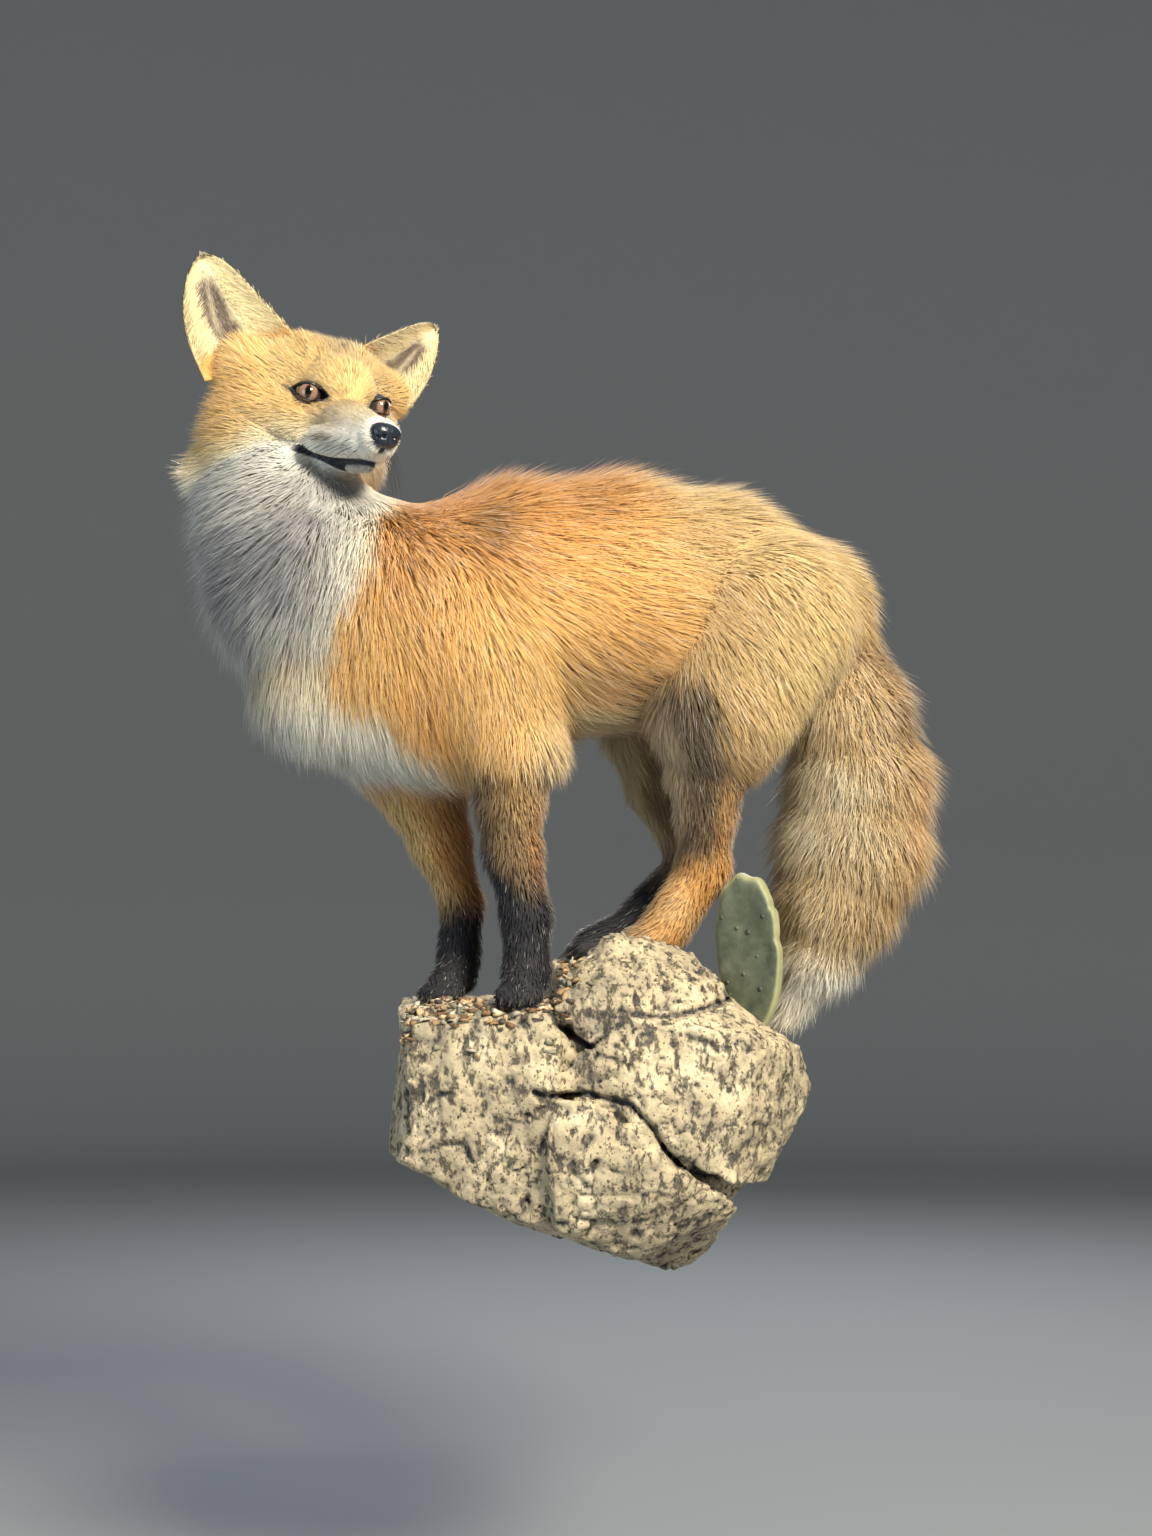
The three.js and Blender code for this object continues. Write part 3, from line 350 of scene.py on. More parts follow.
# an eye's middle and the ways it looks: out, towards the nose and up
def eyeAxes(sign):
    turn, lift = math.radians(eyePlaces[sign]["gazeOut"]), math.radians(eye["gazeUp"])
    gaze = unit(np.array([math.cos(turn), sign * math.sin(turn), math.sin(lift)]) @ headBasis)
    upward = unit(headBasis[2] - (headBasis[2] @ gaze) * gaze)
    noseward = np.cross(upward, gaze)
    if noseward @ headBasis[0] < 0:
        noseward = -noseward
    return inHead(*eyePlaces[sign]["place"]), gaze, noseward, upward


# distance from the edge of the lids, which is two arcs that meet in the corners of the eye
def fromLids(x, y):
    w = lids["halfWidth"]
    y = y + lids["tilt"] * x
    total = None
    for sag, way in ((lids["upper"], 1), (lids["lower"], -1)):
        r = (w * w + sag * sag) / (2 * sag)
        d = np.hypot(x - lids["shift"], y - way * (sag - r)) - r
        total = d if total is None else np.maximum(total, d)
    return total


# height of the line of the mouth at a distance forward: level, lifted under the nose and at its corner
def mouthHeight(f):
    m = mouthLine
    return m["level"] + m["frontRise"] * smooth(64, 74, f) + m["backRise"] * smooth(30, 0, f)


# folds of the face added to the distance: the openings of the eyes, the lips, the furrow under
# the nose, the brows and the hollow before each eye
def carveHead(skin, lines):
    low, high = inHead(-10, 0, -20) - 95, inHead(-10, 0, -20) + 95
    box = onGrid(lines, low, high)
    grid = np.stack(np.meshgrid(*[g[s] for g, s in zip(lines, box)], indexing="ij"), -1)
    h = toHead(grid)
    f, s, u = h[..., 0], h[..., 1], h[..., 2]
    d = skin[box]
    for sign in (1, -1):
        for middle, size, amount in faceFolds:
            away = np.linalg.norm((h - middle * np.array([1, sign, 1])) / size, axis=-1)
            d = d + amount * np.exp(-away ** 2)
    m = mouthLine
    fromMouth = u - mouthHeight(f)
    front = smooth(m["back"] - 4, m["back"] + 8, f)
    d = d + front * m["groove"] * np.exp(-(fromMouth / m["width"]) ** 2)
    d = d - front * m["lip"] * np.exp(-((fromMouth - m["lipHeight"]) / m["lipWidth"]) ** 2)
    d = d + front * m["tuck"] * np.exp(-((fromMouth + 4.5) / 3.5) ** 2)
    furrow = np.exp(-(s / 1.4) ** 2) * smooth(66, 76, f) * smooth(-24, -32, u) * smooth(-47, -44, u)
    d = d + 2.0 * furrow
    skin[box] = d
    plain = d.copy()
    for sign in (1, -1):
        centre, gaze, noseward, upward = eyeAxes(sign)
        q = grid - centre
        opening = np.maximum(fromLids(q @ noseward, q @ upward), 1.0 - q @ gaze)
        d = -softJoin(-d, opening, lids["edge"])
    skin[box] = d
    return box, plain


skinField, coatField = bodyDistances(gridLines)
faceBox, plainFace = carveHead(skinField, gridLines)
faceLines = [line[part] for line, part in zip(gridLines, faceBox)]
print("stage: distances on", skinField.shape)


# values of a grid at points, blended between the eight nearest
def sample(values, lines, points):
    at, share = [], []
    for axis in range(3):
        g = lines[axis]
        i = np.clip(np.searchsorted(g, points[:, axis]) - 1, 0, len(g) - 2)
        at.append(i)
        share.append(np.clip((points[:, axis] - g[i]) / (g[i + 1] - g[i]), 0, 1))
    total = 0
    for dx in (0, 1):
        for dy in (0, 1):
            for dz in (0, 1):
                w = (share[0] if dx else 1 - share[0]) * (share[1] if dy else 1 - share[1])
                w = w * (share[2] if dz else 1 - share[2])
                total = total + w * values[at[0] + dx, at[1] + dy, at[2] + dz]
    return total


# the zero surface of a grid: one point in each cell that it crosses, at the middle of the cell's
# crossed edges, and a face round each crossed edge of the grid
def surfaceNets(values, lines):
    inside = values < 0
    cellShape = tuple(n - 1 for n in values.shape)
    count = np.zeros(cellShape, np.uint8)
    for dx in (0, 1):
        for dy in (0, 1):
            for dz in (0, 1):
                count += inside[dx:dx + cellShape[0], dy:dy + cellShape[1], dz:dz + cellShape[2]]
    active = (count > 0) & (count < 8)
    cells = np.argwhere(active)
    number = np.full(cellShape, -1, np.int64)
    number[active] = np.arange(len(cells))
    total = np.zeros((len(cells), 3))
    hits = np.zeros(len(cells))
    for axis in range(3):
        o1, o2 = (axis + 1) % 3, (axis + 2) % 3
        for a1 in (0, 1):
            for a2 in (0, 1):
                a = cells.copy()
                a[:, o1] += a1
                a[:, o2] += a2
                b = a.copy()
                b[:, axis] += 1
                va = values[a[:, 0], a[:, 1], a[:, 2]]
                vb = values[b[:, 0], b[:, 1], b[:, 2]]
                cross = (va < 0) != (vb < 0)
                t = np.where(cross, va / np.where(cross, va - vb, 1), 0)
                place = np.stack([lines[k][a[:, k]] for k in range(3)], -1).astype(float)
                place[:, axis] += t * (lines[axis][b[:, axis]] - lines[axis][a[:, axis]])
                total += place * cross[:, None]
                hits += cross
    points = total / hits[:, None]
    faces = []
    for axis in range(3):
        o1, o2 = (axis + 1) % 3, (axis + 2) % 3
        first = [slice(None)] * 3
        second = [slice(None)] * 3
        first[axis], second[axis] = slice(0, -1), slice(1, None)
        a, b = inside[tuple(first)], inside[tuple(second)]
        at = np.argwhere(a != b)
        keep = (at[:, o1] > 0) & (at[:, o2] > 0) & (at[:, o1] < cellShape[o1]) & (at[:, o2] < cellShape[o2])
        at = at[keep]
        outward = a[at[:, 0], at[:, 1], at[:, 2]]
        e1, e2 = np.eye(3, dtype=int)[o1], np.eye(3, dtype=int)[o2]
        around = [at - e1 - e2, at - e2, at, at - e1]
        quad = np.stack([number[c[:, 0], c[:, 1], c[:, 2]] for c in around], -1)
        quad[~outward] = quad[~outward][:, ::-1]
        faces.append(quad)
    return points, np.concatenate(faces)


# each point moved part of the way to the middle of its neighbours
def relax(points, quads, rounds, amount):
    edges = np.concatenate([quads[:, [i, (i + 1) % 4]] for i in range(4)])
    for _ in range(rounds):
        total = np.zeros_like(points)
        count = np.zeros(len(points))
        for a, b in ((0, 1), (1, 0)):
            for axis in range(3):
                total[:, axis] += np.bincount(edges[:, a], points[edges[:, b], axis], len(points))
            count += np.bincount(edges[:, a], minlength=len(points))
        points = points + amount * (total / np.maximum(count, 1)[:, None] - points)
    return points


def pointNormals(points, faces):
    corners = points[faces]
    n = np.cross(corners[:, 1] - corners[:, 0], corners[:, 2] - corners[:, 0])
    total = np.zeros_like(points)
    for corner in range(3):
        for axis in range(3):
            total[:, axis] += np.bincount(faces[:, corner], n[:, axis], len(points))
    return unit(total)


skinPoints, skinQuads = surfaceNets(skinField, gridLines)
skinPoints = relax(skinPoints, skinQuads, 2, 0.35)
skinFaces = triangles(skinQuads)
skinNormals = pointNormals(skinPoints, skinFaces)
print("stage: skin", len(skinPoints), "points", len(skinFaces), "triangles")


# ---- ears: a cupped leaf between its roots and its tip, open to the front
ear = dict(cup=14, cupPower=0.8, rim=1.5, edgePower=0.6, belly=0.3, lean=0.1, wall=2.2, inset=1.2)
earPlaces = dict(
    earRight=dict(inner=[-34, 33, 44], outer=[-48, 96, 3], tip=[-62, 102, 87]),
    earLeft=dict(inner=[-36, -28, 50], outer=[-42, -73, 7], tip=[-62, -97, 80]),
)
earGrid = (34, 44)
earStart = -0.14  # how far below its root an ear begins, inside the head


# a place on an ear: across from -1 to 1 between its edges, rise from 0 at its root to 1 at its tip.
# The width falls to nothing at the tip, and the cup is deepest along the middle
def earSurface(places, across, rise, depth):
    inner, outer, tip = (inHead(*places[k]) for k in ("inner", "outer", "tip"))
    middle = (inner + outer) / 2
    half = (outer - inner) / 2
    along = tip - middle
    opening = unit(np.cross(half, along))
    if opening @ headBasis[0] < 0:
        opening = -opening
    up = np.maximum(rise, 0)
    width = (1 - up) ** ear["edgePower"] * (1 + ear["belly"] * up) + 0.02
    slide = ear["lean"] * np.sin(np.pi * up)
    fold = 1 - across ** 2
    cup = (ear["cup"] * (1 - up) ** ear["cupPower"] + ear["rim"]) * fold
    return (middle + (across * width * 0.96 + slide)[..., None] * half + (rise * 0.985)[..., None] * along
            - (cup + depth)[..., None] * opening)


def earShell(places):
    n, m = earGrid
    across, rise = np.meshgrid(np.linspace(-1, 1, n), np.linspace(earStart, 1, m), indexing="ij")
    fold = 1 - across ** 2
    front = earSurface(places, across, rise, ear["inset"] * fold)
    back = earSurface(places, across, rise, ear["inset"] * fold + ear["wall"] * (0.25 + 0.75 * fold))
    points = np.concatenate([front.reshape(-1, 3), back.reshape(-1, 3)])
    index = np.arange(n * m).reshape(n, m)
    quads = np.stack([index[:-1, :-1], index[1:, :-1], index[1:, 1:], index[:-1, 1:]], -1).reshape(-1, 4)
    other = index + n * m
    backQuads = quads[:, ::-1] + n * m
    rims = []
    for line, turned in ((np.s_[:, -1], 0), (np.s_[:, 0], 1), (np.s_[0, :], 0), (np.s_[-1, :], 1)):
        a, b = index[line], other[line]
        rim = np.stack([a[:-1], a[1:], b[1:], b[:-1]], -1)
        rims.append(rim[:, ::-1] if turned else rim)
    faces = facingOut(points, triangles(np.concatenate([quads, backQuads] + rims)))
    side = np.concatenate([np.ones(n * m), -np.ones(n * m)])
    place = np.concatenate([np.stack([across, rise], -1).reshape(-1, 2)] * 2)
    return points, faces, side, place


# ---- which region each point belongs to, and the way the fur lies there
nosePoint = inHead(84, 0, -30)
lieWays = dict(  # the way the fur lies on a row of the body; on the other rows it runs along them
    rump=(0.85, 0, -0.5), loin=(1, 0.1, -0.22), back=(1, 0.1, -0.25), ribs=(0.8, 0.1, -0.45),
    chest=(-0.25, 0, -1), neckRoot=(0.12, 0.1, -1), neckMiddle=(-0.15, 0.05, -1),
    throat=(-0.05, 0.1, -1), shoulderLeft=(0.15, 0, -1), shoulderRight=(0.1, 0, -1),
    hipLeft=(0.5, 0.05, -0.8), hipRight=(0.5, 0.05, -0.8), kneeLeft=(0.25, 0, -1),
    kneeRight=(0.2, 0, -1),
)

# the edge of the white front: how far right it reaches at each height, from the chest to the chin
whiteEdge = dict(height=[250, 273, 295, 316, 324, 344, 363, 394, 436, 474],
                 right=[-134, -138, -146, -166, -192, -203, -194, -177, -168, -183])
thighStripe = [(58, 342), (68, 306), (74, 262), (76, 214), (70, 184)]  # a dark line down the near thigh


# the rows near a point share its fur by their distance. From the edge of the white front the hairs
# sweep outwards and back, and they close over the edge itself
def regionAndLie(points, normals):
    nearest = np.full(len(points), 1e9)
    region = np.zeros(len(points), int)
    distances = []
    for cone in cones:
        off, t = fromLine(points[:, 0], points[:, 1], points[:, 2], cone)
        d = off - (cone["skin"][0] + (cone["skin"][1] - cone["skin"][0]) * t)
        distances.append(d)
        closer = d < nearest
        nearest = np.where(closer, d, nearest)
        region = np.where(closer, regions.index(cone["region"]), region)
    lie = np.zeros_like(points)
    radial = unit(points - nosePoint)
    edge = np.interp(points[:, 2], whiteEdge["height"], whiteEdge["right"])
    outward = smooth(10, 75, edge - points[:, 0]) * smooth(335, 400, points[:, 2])
    inward = smooth(34, 6, np.abs(edge - points[:, 0])) * smooth(350, 400, points[:, 2])
    sweep = np.stack([-0.95 * outward - 0.35 * inward, 0 * outward, 0.45 * outward], -1)
    for cone, d in zip(cones, distances):
        reach = 14.0 if cone["region"] in ("trunk", "neck", "tail") else 9.0
        w = np.exp(-np.clip((d - nearest) / reach, 0, 30))[:, None]
        if cone["region"] == "head":
            way = radial
        elif cone["from"] in lieWays:
            way = np.array(lieWays[cone["from"]], float)
            way = unit(way + sweep if cone["region"] == "neck" or cone["from"] == "chest" else way)
        else:
            way = unit(cone["b"] - cone["a"] - [0, 0, 4])
        lie = lie + w * way
    lie = unit(lie) + 0.10 * noiseVector(points, 45)
    lie = lie - dot(lie, normals)[:, None] * normals
    return region, unit(lie)


print("stage: ears and regions ready")

# ---- colours of the coat, as light it sends back
tones = {name: np.array(value) for name, value in dict(
    orange=(0.66, 0.345, 0.105), gold=(0.78, 0.50, 0.185), rust=(0.42, 0.205, 0.075),
    tan=(0.58, 0.415, 0.205), straw=(0.80, 0.62, 0.29), cream=(0.80, 0.71, 0.48),
    white=(0.84, 0.82, 0.73), grey=(0.215, 0.22, 0.235), dark=(0.030, 0.030, 0.036),
    brown=(0.20, 0.135, 0.080), lip=(0.010, 0.015, 0.028), umber=(0.115, 0.085, 0.060),
).items()}


def blob(points, centre, size):
    return np.exp(-(((points - np.asarray(centre, float)) / np.asarray(size, float)) ** 2).sum(-1))


# distance of points from a line through places, seen along y
def fromStripe(points, places):
    best = np.full(len(points), 1e9)
    q = points[:, [0, 2]]
    for a, b in zip(places[:-1], places[1:]):
        a, b = np.array(a, float), np.array(b, float)
        t = np.clip(dot(q - a, b - a) / ((b - a) ** 2).sum(), 0, 1)
        best = np.minimum(best, np.linalg.norm(q - a - t[:, None] * (b - a), axis=-1))
    return best


# the markings of a point of the skin or of a tuft's root, with painted highlights and shade among
# them: its colour, how grizzled it is, and how black or pale the tips of its hairs are
def markingsAndPaintedLight(points, normals, region):
    x, z = points[:, 0], points[:, 2]
    nx, ny, nz = normals.T
    wander = noise(points, 26) * 0.6 + noise(points, 9, 5.0) * 0.4
    broad = noise(points, 60, 8.0)
    h = toHead(points)
    f, s, u = h.T
    side = np.abs(s)
    fsu = np.stack([f, side, u], -1)
    colour = np.broadcast_to(tones["orange"], points.shape).copy()
    black = np.zeros(len(points))
    trunk, head, tail = (region == regions.index(name) for name in ("trunk", "head", "tail"))
    nearFront, farFront, nearHind, farHind = (
        region == regions.index(name) for name in ("frontLeft", "frontRight", "hindLeft", "hindRight"))

    # trunk: golden on the shoulder and flank, rusty along the back, tan over the rump, with painted
    # highlights on the shoulder and thigh and painted shade low on the flank
    colour = layered(
        colour,
        ("gold", 0.75 * smooth(-0.7, 0.5, broad) * smooth(0.75, 0.2, nz)),
        ("rust", 0.5 * smooth(0.35, 0.9, nz) * smooth(90, 20, x)),
        # painted highlight: a golden pool of light on the near shoulder
        ("gold", 0.9 * blob(points, [-78, -250, 322], [34, 60, 36])),
        ("rust", 0.5 * blob(points, [-150, -240, 400], [16, 40, 34])),
        ("umber", 0.55 * blob(points, [-98, -205, 428], [15, 30, 12])))
    rump = smooth(12, 74, x + 14 * wander + 0.25 * (z - 380) + 14 * smooth(0.3, 0.9, nz))
    colour = layered(
        colour,
        ("tan", 0.85 * rump),
        # painted highlight: straw light on the near thigh
        ("straw", 0.95 * blob(points, [152, -170, 340], [42, 110, 66])),
        ("straw", 0.35 * rump * smooth(0.2, 0.8, nz)),
        ("rust", 0.6 * blob(points, [112, -170, 262], [22, 60, 20])))
    black = np.maximum(black, 0.16 * rump + 0.22 * smooth(0.3, 0.85, nz))
    # painted shade: brown low on the near flank, above the belly
    shade = blob(points, [0, -220, 322], [64, 80, 30]) * smooth(0.3, -0.1, ny)
    colour = mix(colour, tones["brown"], np.clip(0.95 * shade * (0.75 + 0.5 * wander), 0, 0.9))
    belly = smooth(322, 296, z + 8 * wander) * smooth(-70, -40, x) * smooth(82, 52, x)
    colour = layered(
        colour,
        ("cream", 0.75 * belly),
        ("grey", 0.45 * belly * smooth(-0.2, 0.7, wander)),
        # painted shade: grey low on the near flank
        ("grey", 0.28 * blob(points, [28, -230, 325], [20, 60, 26])))

    # white throat and chest, mixed with grey in the middle of the throat
    edge = np.interp(z, whiteEdge["height"], whiteEdge["right"]) + 7 * wander
    body = trunk | (region == regions.index("neck"))
    front = smooth(9, -9, x - edge) * smooth(246, 262, z) * smooth(0.5, 0.15, ny + 0.55 * nx)
    front = front * (body | farFront & (z > 268))
    colour = mix(colour, tones["cream"], front)
    # painted light: the front is whiter where it is lit, above the chest's middle and low on its right, and
    # stays cream elsewhere
    lit = np.maximum(smooth(330, 370, z), smooth(338, 322, z + 6 * wander) * smooth(-252, -236, x))
    colour = layered(
        colour,
        ("white", 0.9 * front * lit),
        ("orange", 0.22 * front * blob(points, [-226, -230, 345], [26, 60, 14])))
    greyThroat = np.maximum(blob(points, [-232, -245, 404], [40, 60, 40]),
                            0.95 * blob(points, [-208, -240, 440], [38, 60, 26]))
    colour = layered(
        colour,
        ("grey", np.clip(greyThroat * (1.15 + 0.6 * wander), 0, 0.95) * front),
        # painted shade: grey on the far left of the white front
        ("grey", 0.45 * front * smooth(-224, -252, x)))
    black = black * (1 - front)

    # legs: dark below, orange or tan above
    edge = 212 - 30 * np.clip(nx, -1, 1) + 12 * wander
    colour = layered(
        colour,
        ("gold", 0.5 * nearFront * smooth(250, 290, z)),
        ("brown", 0.85 * smooth(edge + 60, edge - 10, z) * nearFront),
        ("tan", 0.35 * smooth(-0.2, 0.5, noise(points, 5, 3.0)) * smooth(edge - 50, edge, z) * nearFront),
        ("rust", 0.6 * smooth(0.3, 0.8, nx) * smooth(110, 170, z) * nearFront * smooth(260, 220, z)),
        ("dark", smooth(edge - 26, edge - 66, z - 24 * smooth(0.2, 0.8, nx)) * nearFront))
    black = np.maximum(black, 0.5 * smooth(290, 220, z) * nearFront)
    colour = layered(
        colour,
        # painted light on the far front leg: straw on its lit side that faces left, rust on its shaded side
        # that faces right
        ("straw", 0.55 * farFront * smooth(0.1, -0.5, nx) * smooth(262, 240, z)),
        ("rust", 0.7 * farFront * smooth(-0.1, 0.5, nx) * smooth(270, 240, z)),
        ("dark", smooth(168, 138, z + 8 * wander) * farFront))
    stripe = smooth(17, 6, fromStripe(points, thighStripe) + 5 * wander)
    stripe = stripe * smooth(0.2, -0.2, ny) * (nearHind | trunk) * smooth(340, 312, z)
    lower = smooth(262, 226, z) * nearHind
    colour = layered(
        colour,
        ("rust", 0.5 * lower * smooth(0.0, 0.6, nx)),
        ("umber", 0.85 * stripe),
        ("orange", 0.8 * smooth(200, 178, z) * nearHind),
        ("tan", 0.6 * smooth(190, 168, z) * nearHind * smooth(-0.4, 0.3, wander)),
        ("dark", smooth(44, 16, x + 6 * wander) * smooth(140, 126, z) * nearHind * 0.8))
    black = np.maximum(black, 0.4 * stripe)
    # painted shade: the far hind leg browned above its dark foot, and paler on its side that faces left
    farHindShade = farHind * smooth(330, 290, z)
    colour = layered(
        colour,
        ("brown", 0.8 * farHindShade),
        ("cream", 0.75 * farHindShade * smooth(-0.25, -0.7, nx) * smooth(190, 215, z)),
        ("dark", smooth(196, 160, z) * farHind))

    # tail: cream and tan woven together, orange on its outer side, dark at the top, white at the tip
    grizzle = smooth(-0.5, 0.5, noise(points, 11, 2.0))
    tailColour = mix(tones["tan"], tones["cream"], 0.5 * grizzle + 0.4 * smooth(0.1, -0.7, nx))
    tailColour = layered(
        tailColour,
        ("orange", 0.6 * smooth(0.1, 0.9, nx + 0.3 * wander)),
        ("brown", 0.7 * smooth(0.2, 0.9, nx) * smooth(250, 310, z)),
        ("gold", 0.35 * smooth(-0.3, 0.5, broad)),
        ("white", smooth(142, 104, z + 12 * wander)))
    colour = mix(colour, tailColour, tail * 1.0)
    black = np.where(tail, 0.30 * smooth(100, 140, z), black)
    pale = np.where(tail, 0.30, 0.0)

    # head: straw crown, orange cheeks with white ruffs, brown before the eyes, white lips and chin
    face = mix(tones["straw"], tones["gold"], 0.4 + 0.4 * wander)
    face = layered(
        face,
        ("gold", 0.9 * blob(fsu, [-40, 60, -10], [28, 22, 24])),
        ("orange", 0.75 * blob(fsu, [-46, 66, -26], [22, 20, 18])),
        ("orange", 0.45 * blob(fsu, [4, 30, -14], [20, 14, 7])))
    face = 0.93 * face
    face = mix(face, tones["tan"], 0.38 * smooth(8, 30, f) * smooth(-24, -10, u))
    low = -26 + 0.16 * f - 0.22 * side - 0.9 * np.maximum(side - 50, 0) + 5 * wander
    face = layered(
        face,
        ("cream", smooth(low + 20, low, u) * 0.85),
        ("white", smooth(low + 6, low - 10, u)))
    lipWhite = smooth(12, 28, f) * smooth(-24, -31, u + 2 * wander)
    face = mix(face, tones["white"], 0.95 * lipWhite)
    brownPatch = blob(fsu, [20, 17, -16], [17, 8, 9]) + 0.8 * blob(fsu, [34, 17, -27], [12, 9, 5])
    face = layered(
        face,
        ("brown", np.clip(0.55 * brownPatch * (0.8 + 0.9 * noise(points, 4.0, 6.0)), 0, 0.75)),
        ("white", 0.9 * blob(fsu, [16, 26, -40], [13, 12, 3.5])))
    smudge = blob(fsu, [34, 22, -33], [12, 9, 2.6])
    face = layered(
        face,
        ("umber", np.clip(0.95 * smudge, 0, 0.85)),
        ("brown", 0.35 * blob(fsu, [-26, 44, -20], [12, 12, 5])))
    fleck = smooth(0.15, 0.55, noise(points, 4.2, 9.0)) * smooth(50, 20, side) * smooth(-20, 5, u)
    face = mix(face, tones["brown"], 0.42 * fleck)
    spots = np.sin(f * 1.15 + 0.8 * u) * np.sin(u * 1.75)
    face = mix(face, tones["umber"], 0.75 * smooth(0.55, 0.8, spots) * smooth(34, 42, f)
               * smooth(-33, -35, u) * smooth(72, 66, f))
    rim = np.full(len(points), 99.0)
    line = np.zeros(len(points))
    for sign in (1, -1):
        centre, gaze, noseward, upward = eyeAxes(sign)
        q = points - centre
        ex, ey, eh = q @ noseward, q @ upward, q @ gaze
        near = (eh > -4) & (s * sign > 0)
        rim = np.where(near, np.minimum(rim, fromLids(ex, ey)), rim)
        tear = np.exp(-(np.hypot((ex - 16) / 4.0, (ey + 2.2 + 0.4 * (ex - 12)) / 2.4)) ** 2)
        outer = np.exp(-(np.hypot((ex + 15.5) / 4.5, (ey - 1.2) / 1.6)) ** 2)
        line = np.maximum(line, near * np.maximum(tear, 0.9 * outer))
    lidGap = rim.copy()
    face = layered(
        face,
        ("brown", 0.5 * smooth(6.0, 1.5, rim)),
        ("lip", np.maximum(smooth(2.4, 0.9, rim), 0.9 * line)))
    colour = mix(colour, face, head * 1.0)
    fromMouth = u - mouthHeight(f)
    nearJaw = head | (region == regions.index("neck"))
    # painted shade: a grey band under the lower lip
    underLipShade = smooth(-1, -4, fromMouth) * smooth(-15, -10, fromMouth) * smooth(24, 40, f) * nearJaw
    colour = mix(colour, tones["grey"], 0.85 * underLipShade * (0.85 + 0.3 * wander))
    lipDepth = 2.6 + 4.2 * smooth(42, 22, f) * smooth(-10, 6, f)
    fromLip = np.maximum(np.maximum(fromMouth - 1.9, -lipDepth - 1.2 - fromMouth),
                         np.maximum(-8 - f, side - 52))
    rim = np.where(nearJaw, np.minimum(rim, fromLip + 1.2), rim)
    lipBand = (smooth(1.9, 0.9, fromMouth) * smooth(-lipDepth - 1.2, -lipDepth, fromMouth)
               * smooth(-8, -3, f) * nearJaw * smooth(60, 50, side))
    furrow = smooth(2.6, 1.6, side) * smooth(70, 75, f) * smooth(-24, -28, u) * (u > -47) * head
    bare = np.clip(np.maximum(lipBand, furrow), 0, 1)
    colour = mix(colour, tones["lip"], bare)
    bare = np.maximum(bare, smooth(2.0, 1.2, lidGap) * head)
    return np.clip(colour * (1 + 0.07 * wander[:, None]), 0.004, 0.95), black, pale, bare, rim


# ---- the unwrap of the body: each region is rolled out round its own middle line
charts = dict(  # left, bottom, width and height on the sheet, and the middle line
    trunk=(0.00, 0.00, 0.46, 0.30, "rump loin back ribs chest foreChest"),
    neck=(0.00, 0.31, 0.30, 0.20, "neckRoot neckMiddle throat nape"),
    head=(0.47, 0.00, 0.52, 0.45, ""),
    frontLeft=(0.00, 0.52, 0.14, 0.30,
               "shoulderLeft elbowLeft forearmLowLeft wristLeft ankleLeft pawTipLeft"),
    frontRight=(0.15, 0.52, 0.14, 0.30,
               "shoulderRight elbowRight forearmRight wristRight ankleRight pawTipRight"),
    hindLeft=(0.30, 0.52, 0.18, 0.34,
               "hipLeft kneeLeft shankLowLeft hockLeft ballLeft footTipLeft"),
    hindRight=(0.49, 0.52, 0.18, 0.34,
               "hipRight kneeRight shankRight hockRight ballRight footTipRight"),
    tail=(0.68, 0.46, 0.31, 0.30, "tailRoot tailUpper tailHigh tailMiddle tailLow tailThin tailTip"),
    earRight=(0.68, 0.77, 0.15, 0.22, ""),
    earLeft=(0.84, 0.77, 0.15, 0.22, ""),
)


# angle round the middle line and length along it, both from 0 to 1
def rollOut(points, name):
    if name == "head":
        h = toHead(points)
        return np.arctan2(h[:, 1], h[:, 2] + 25) / (2 * np.pi) + 0.5, np.clip((h[:, 0] + 110) / 200, 0, 1)
    line = np.array([joints[k] for k in charts[name][4].split()])
    lengths = np.linalg.norm(np.diff(line, axis=0), axis=-1)
    starts = np.concatenate([[0], np.cumsum(lengths)])
    best = np.full(len(points), 1e9)
    along = np.zeros(len(points))
    offset = np.zeros_like(points)
    for i in range(len(lengths)):
        a, b = line[i], line[i + 1]
        raw = dot(points - a, b - a) / lengths[i] ** 2
        low, high = (-9 if i == 0 else 0), (9 if i == len(lengths) - 1 else 1)
        t = np.clip(raw, low, high)
        gap = points - a - t[:, None] * (b - a)
        d = np.linalg.norm(gap, axis=-1)
        closer = d < best
        best = np.where(closer, d, best)
        along = np.where(closer, starts[i] + t * lengths[i], along)
        offset = np.where(closer[:, None], gap, offset)
    axis = unit(line[-1] - line[0])
    first = unit(np.cross(axis, [0.3, 1, 0.1]))
    second = np.cross(axis, first)
    angle = np.arctan2(dot(offset, first), dot(offset, second)) / (2 * np.pi) + 0.5
    spare = 70  # what lies past each end of the line
    return angle, np.clip((along + spare) / (starts[-1] + 2 * spare), 0, 1)


# place on the sheet: an ear's own two measures, or a region rolled out
def chartPlace(points, region, earPlace):
    out = np.zeros((len(points), 2))
    for i, name in enumerate(regions):
        here = region == i
        if not here.any():
            continue
        left, bottom, width, height = charts[name][:4]
        if name.startswith("ear"):
            a = earPlace[here, 0] * 0.5 + 0.5
            b = earPlace[here, 1]
        else:
            a, b = rollOut(points[here], name)
        out[here, 0] = left + width * (0.04 + 0.92 * a)
        out[here, 1] = bottom + height * (0.03 + 0.94 * np.clip(b, 0, 1))
    return out


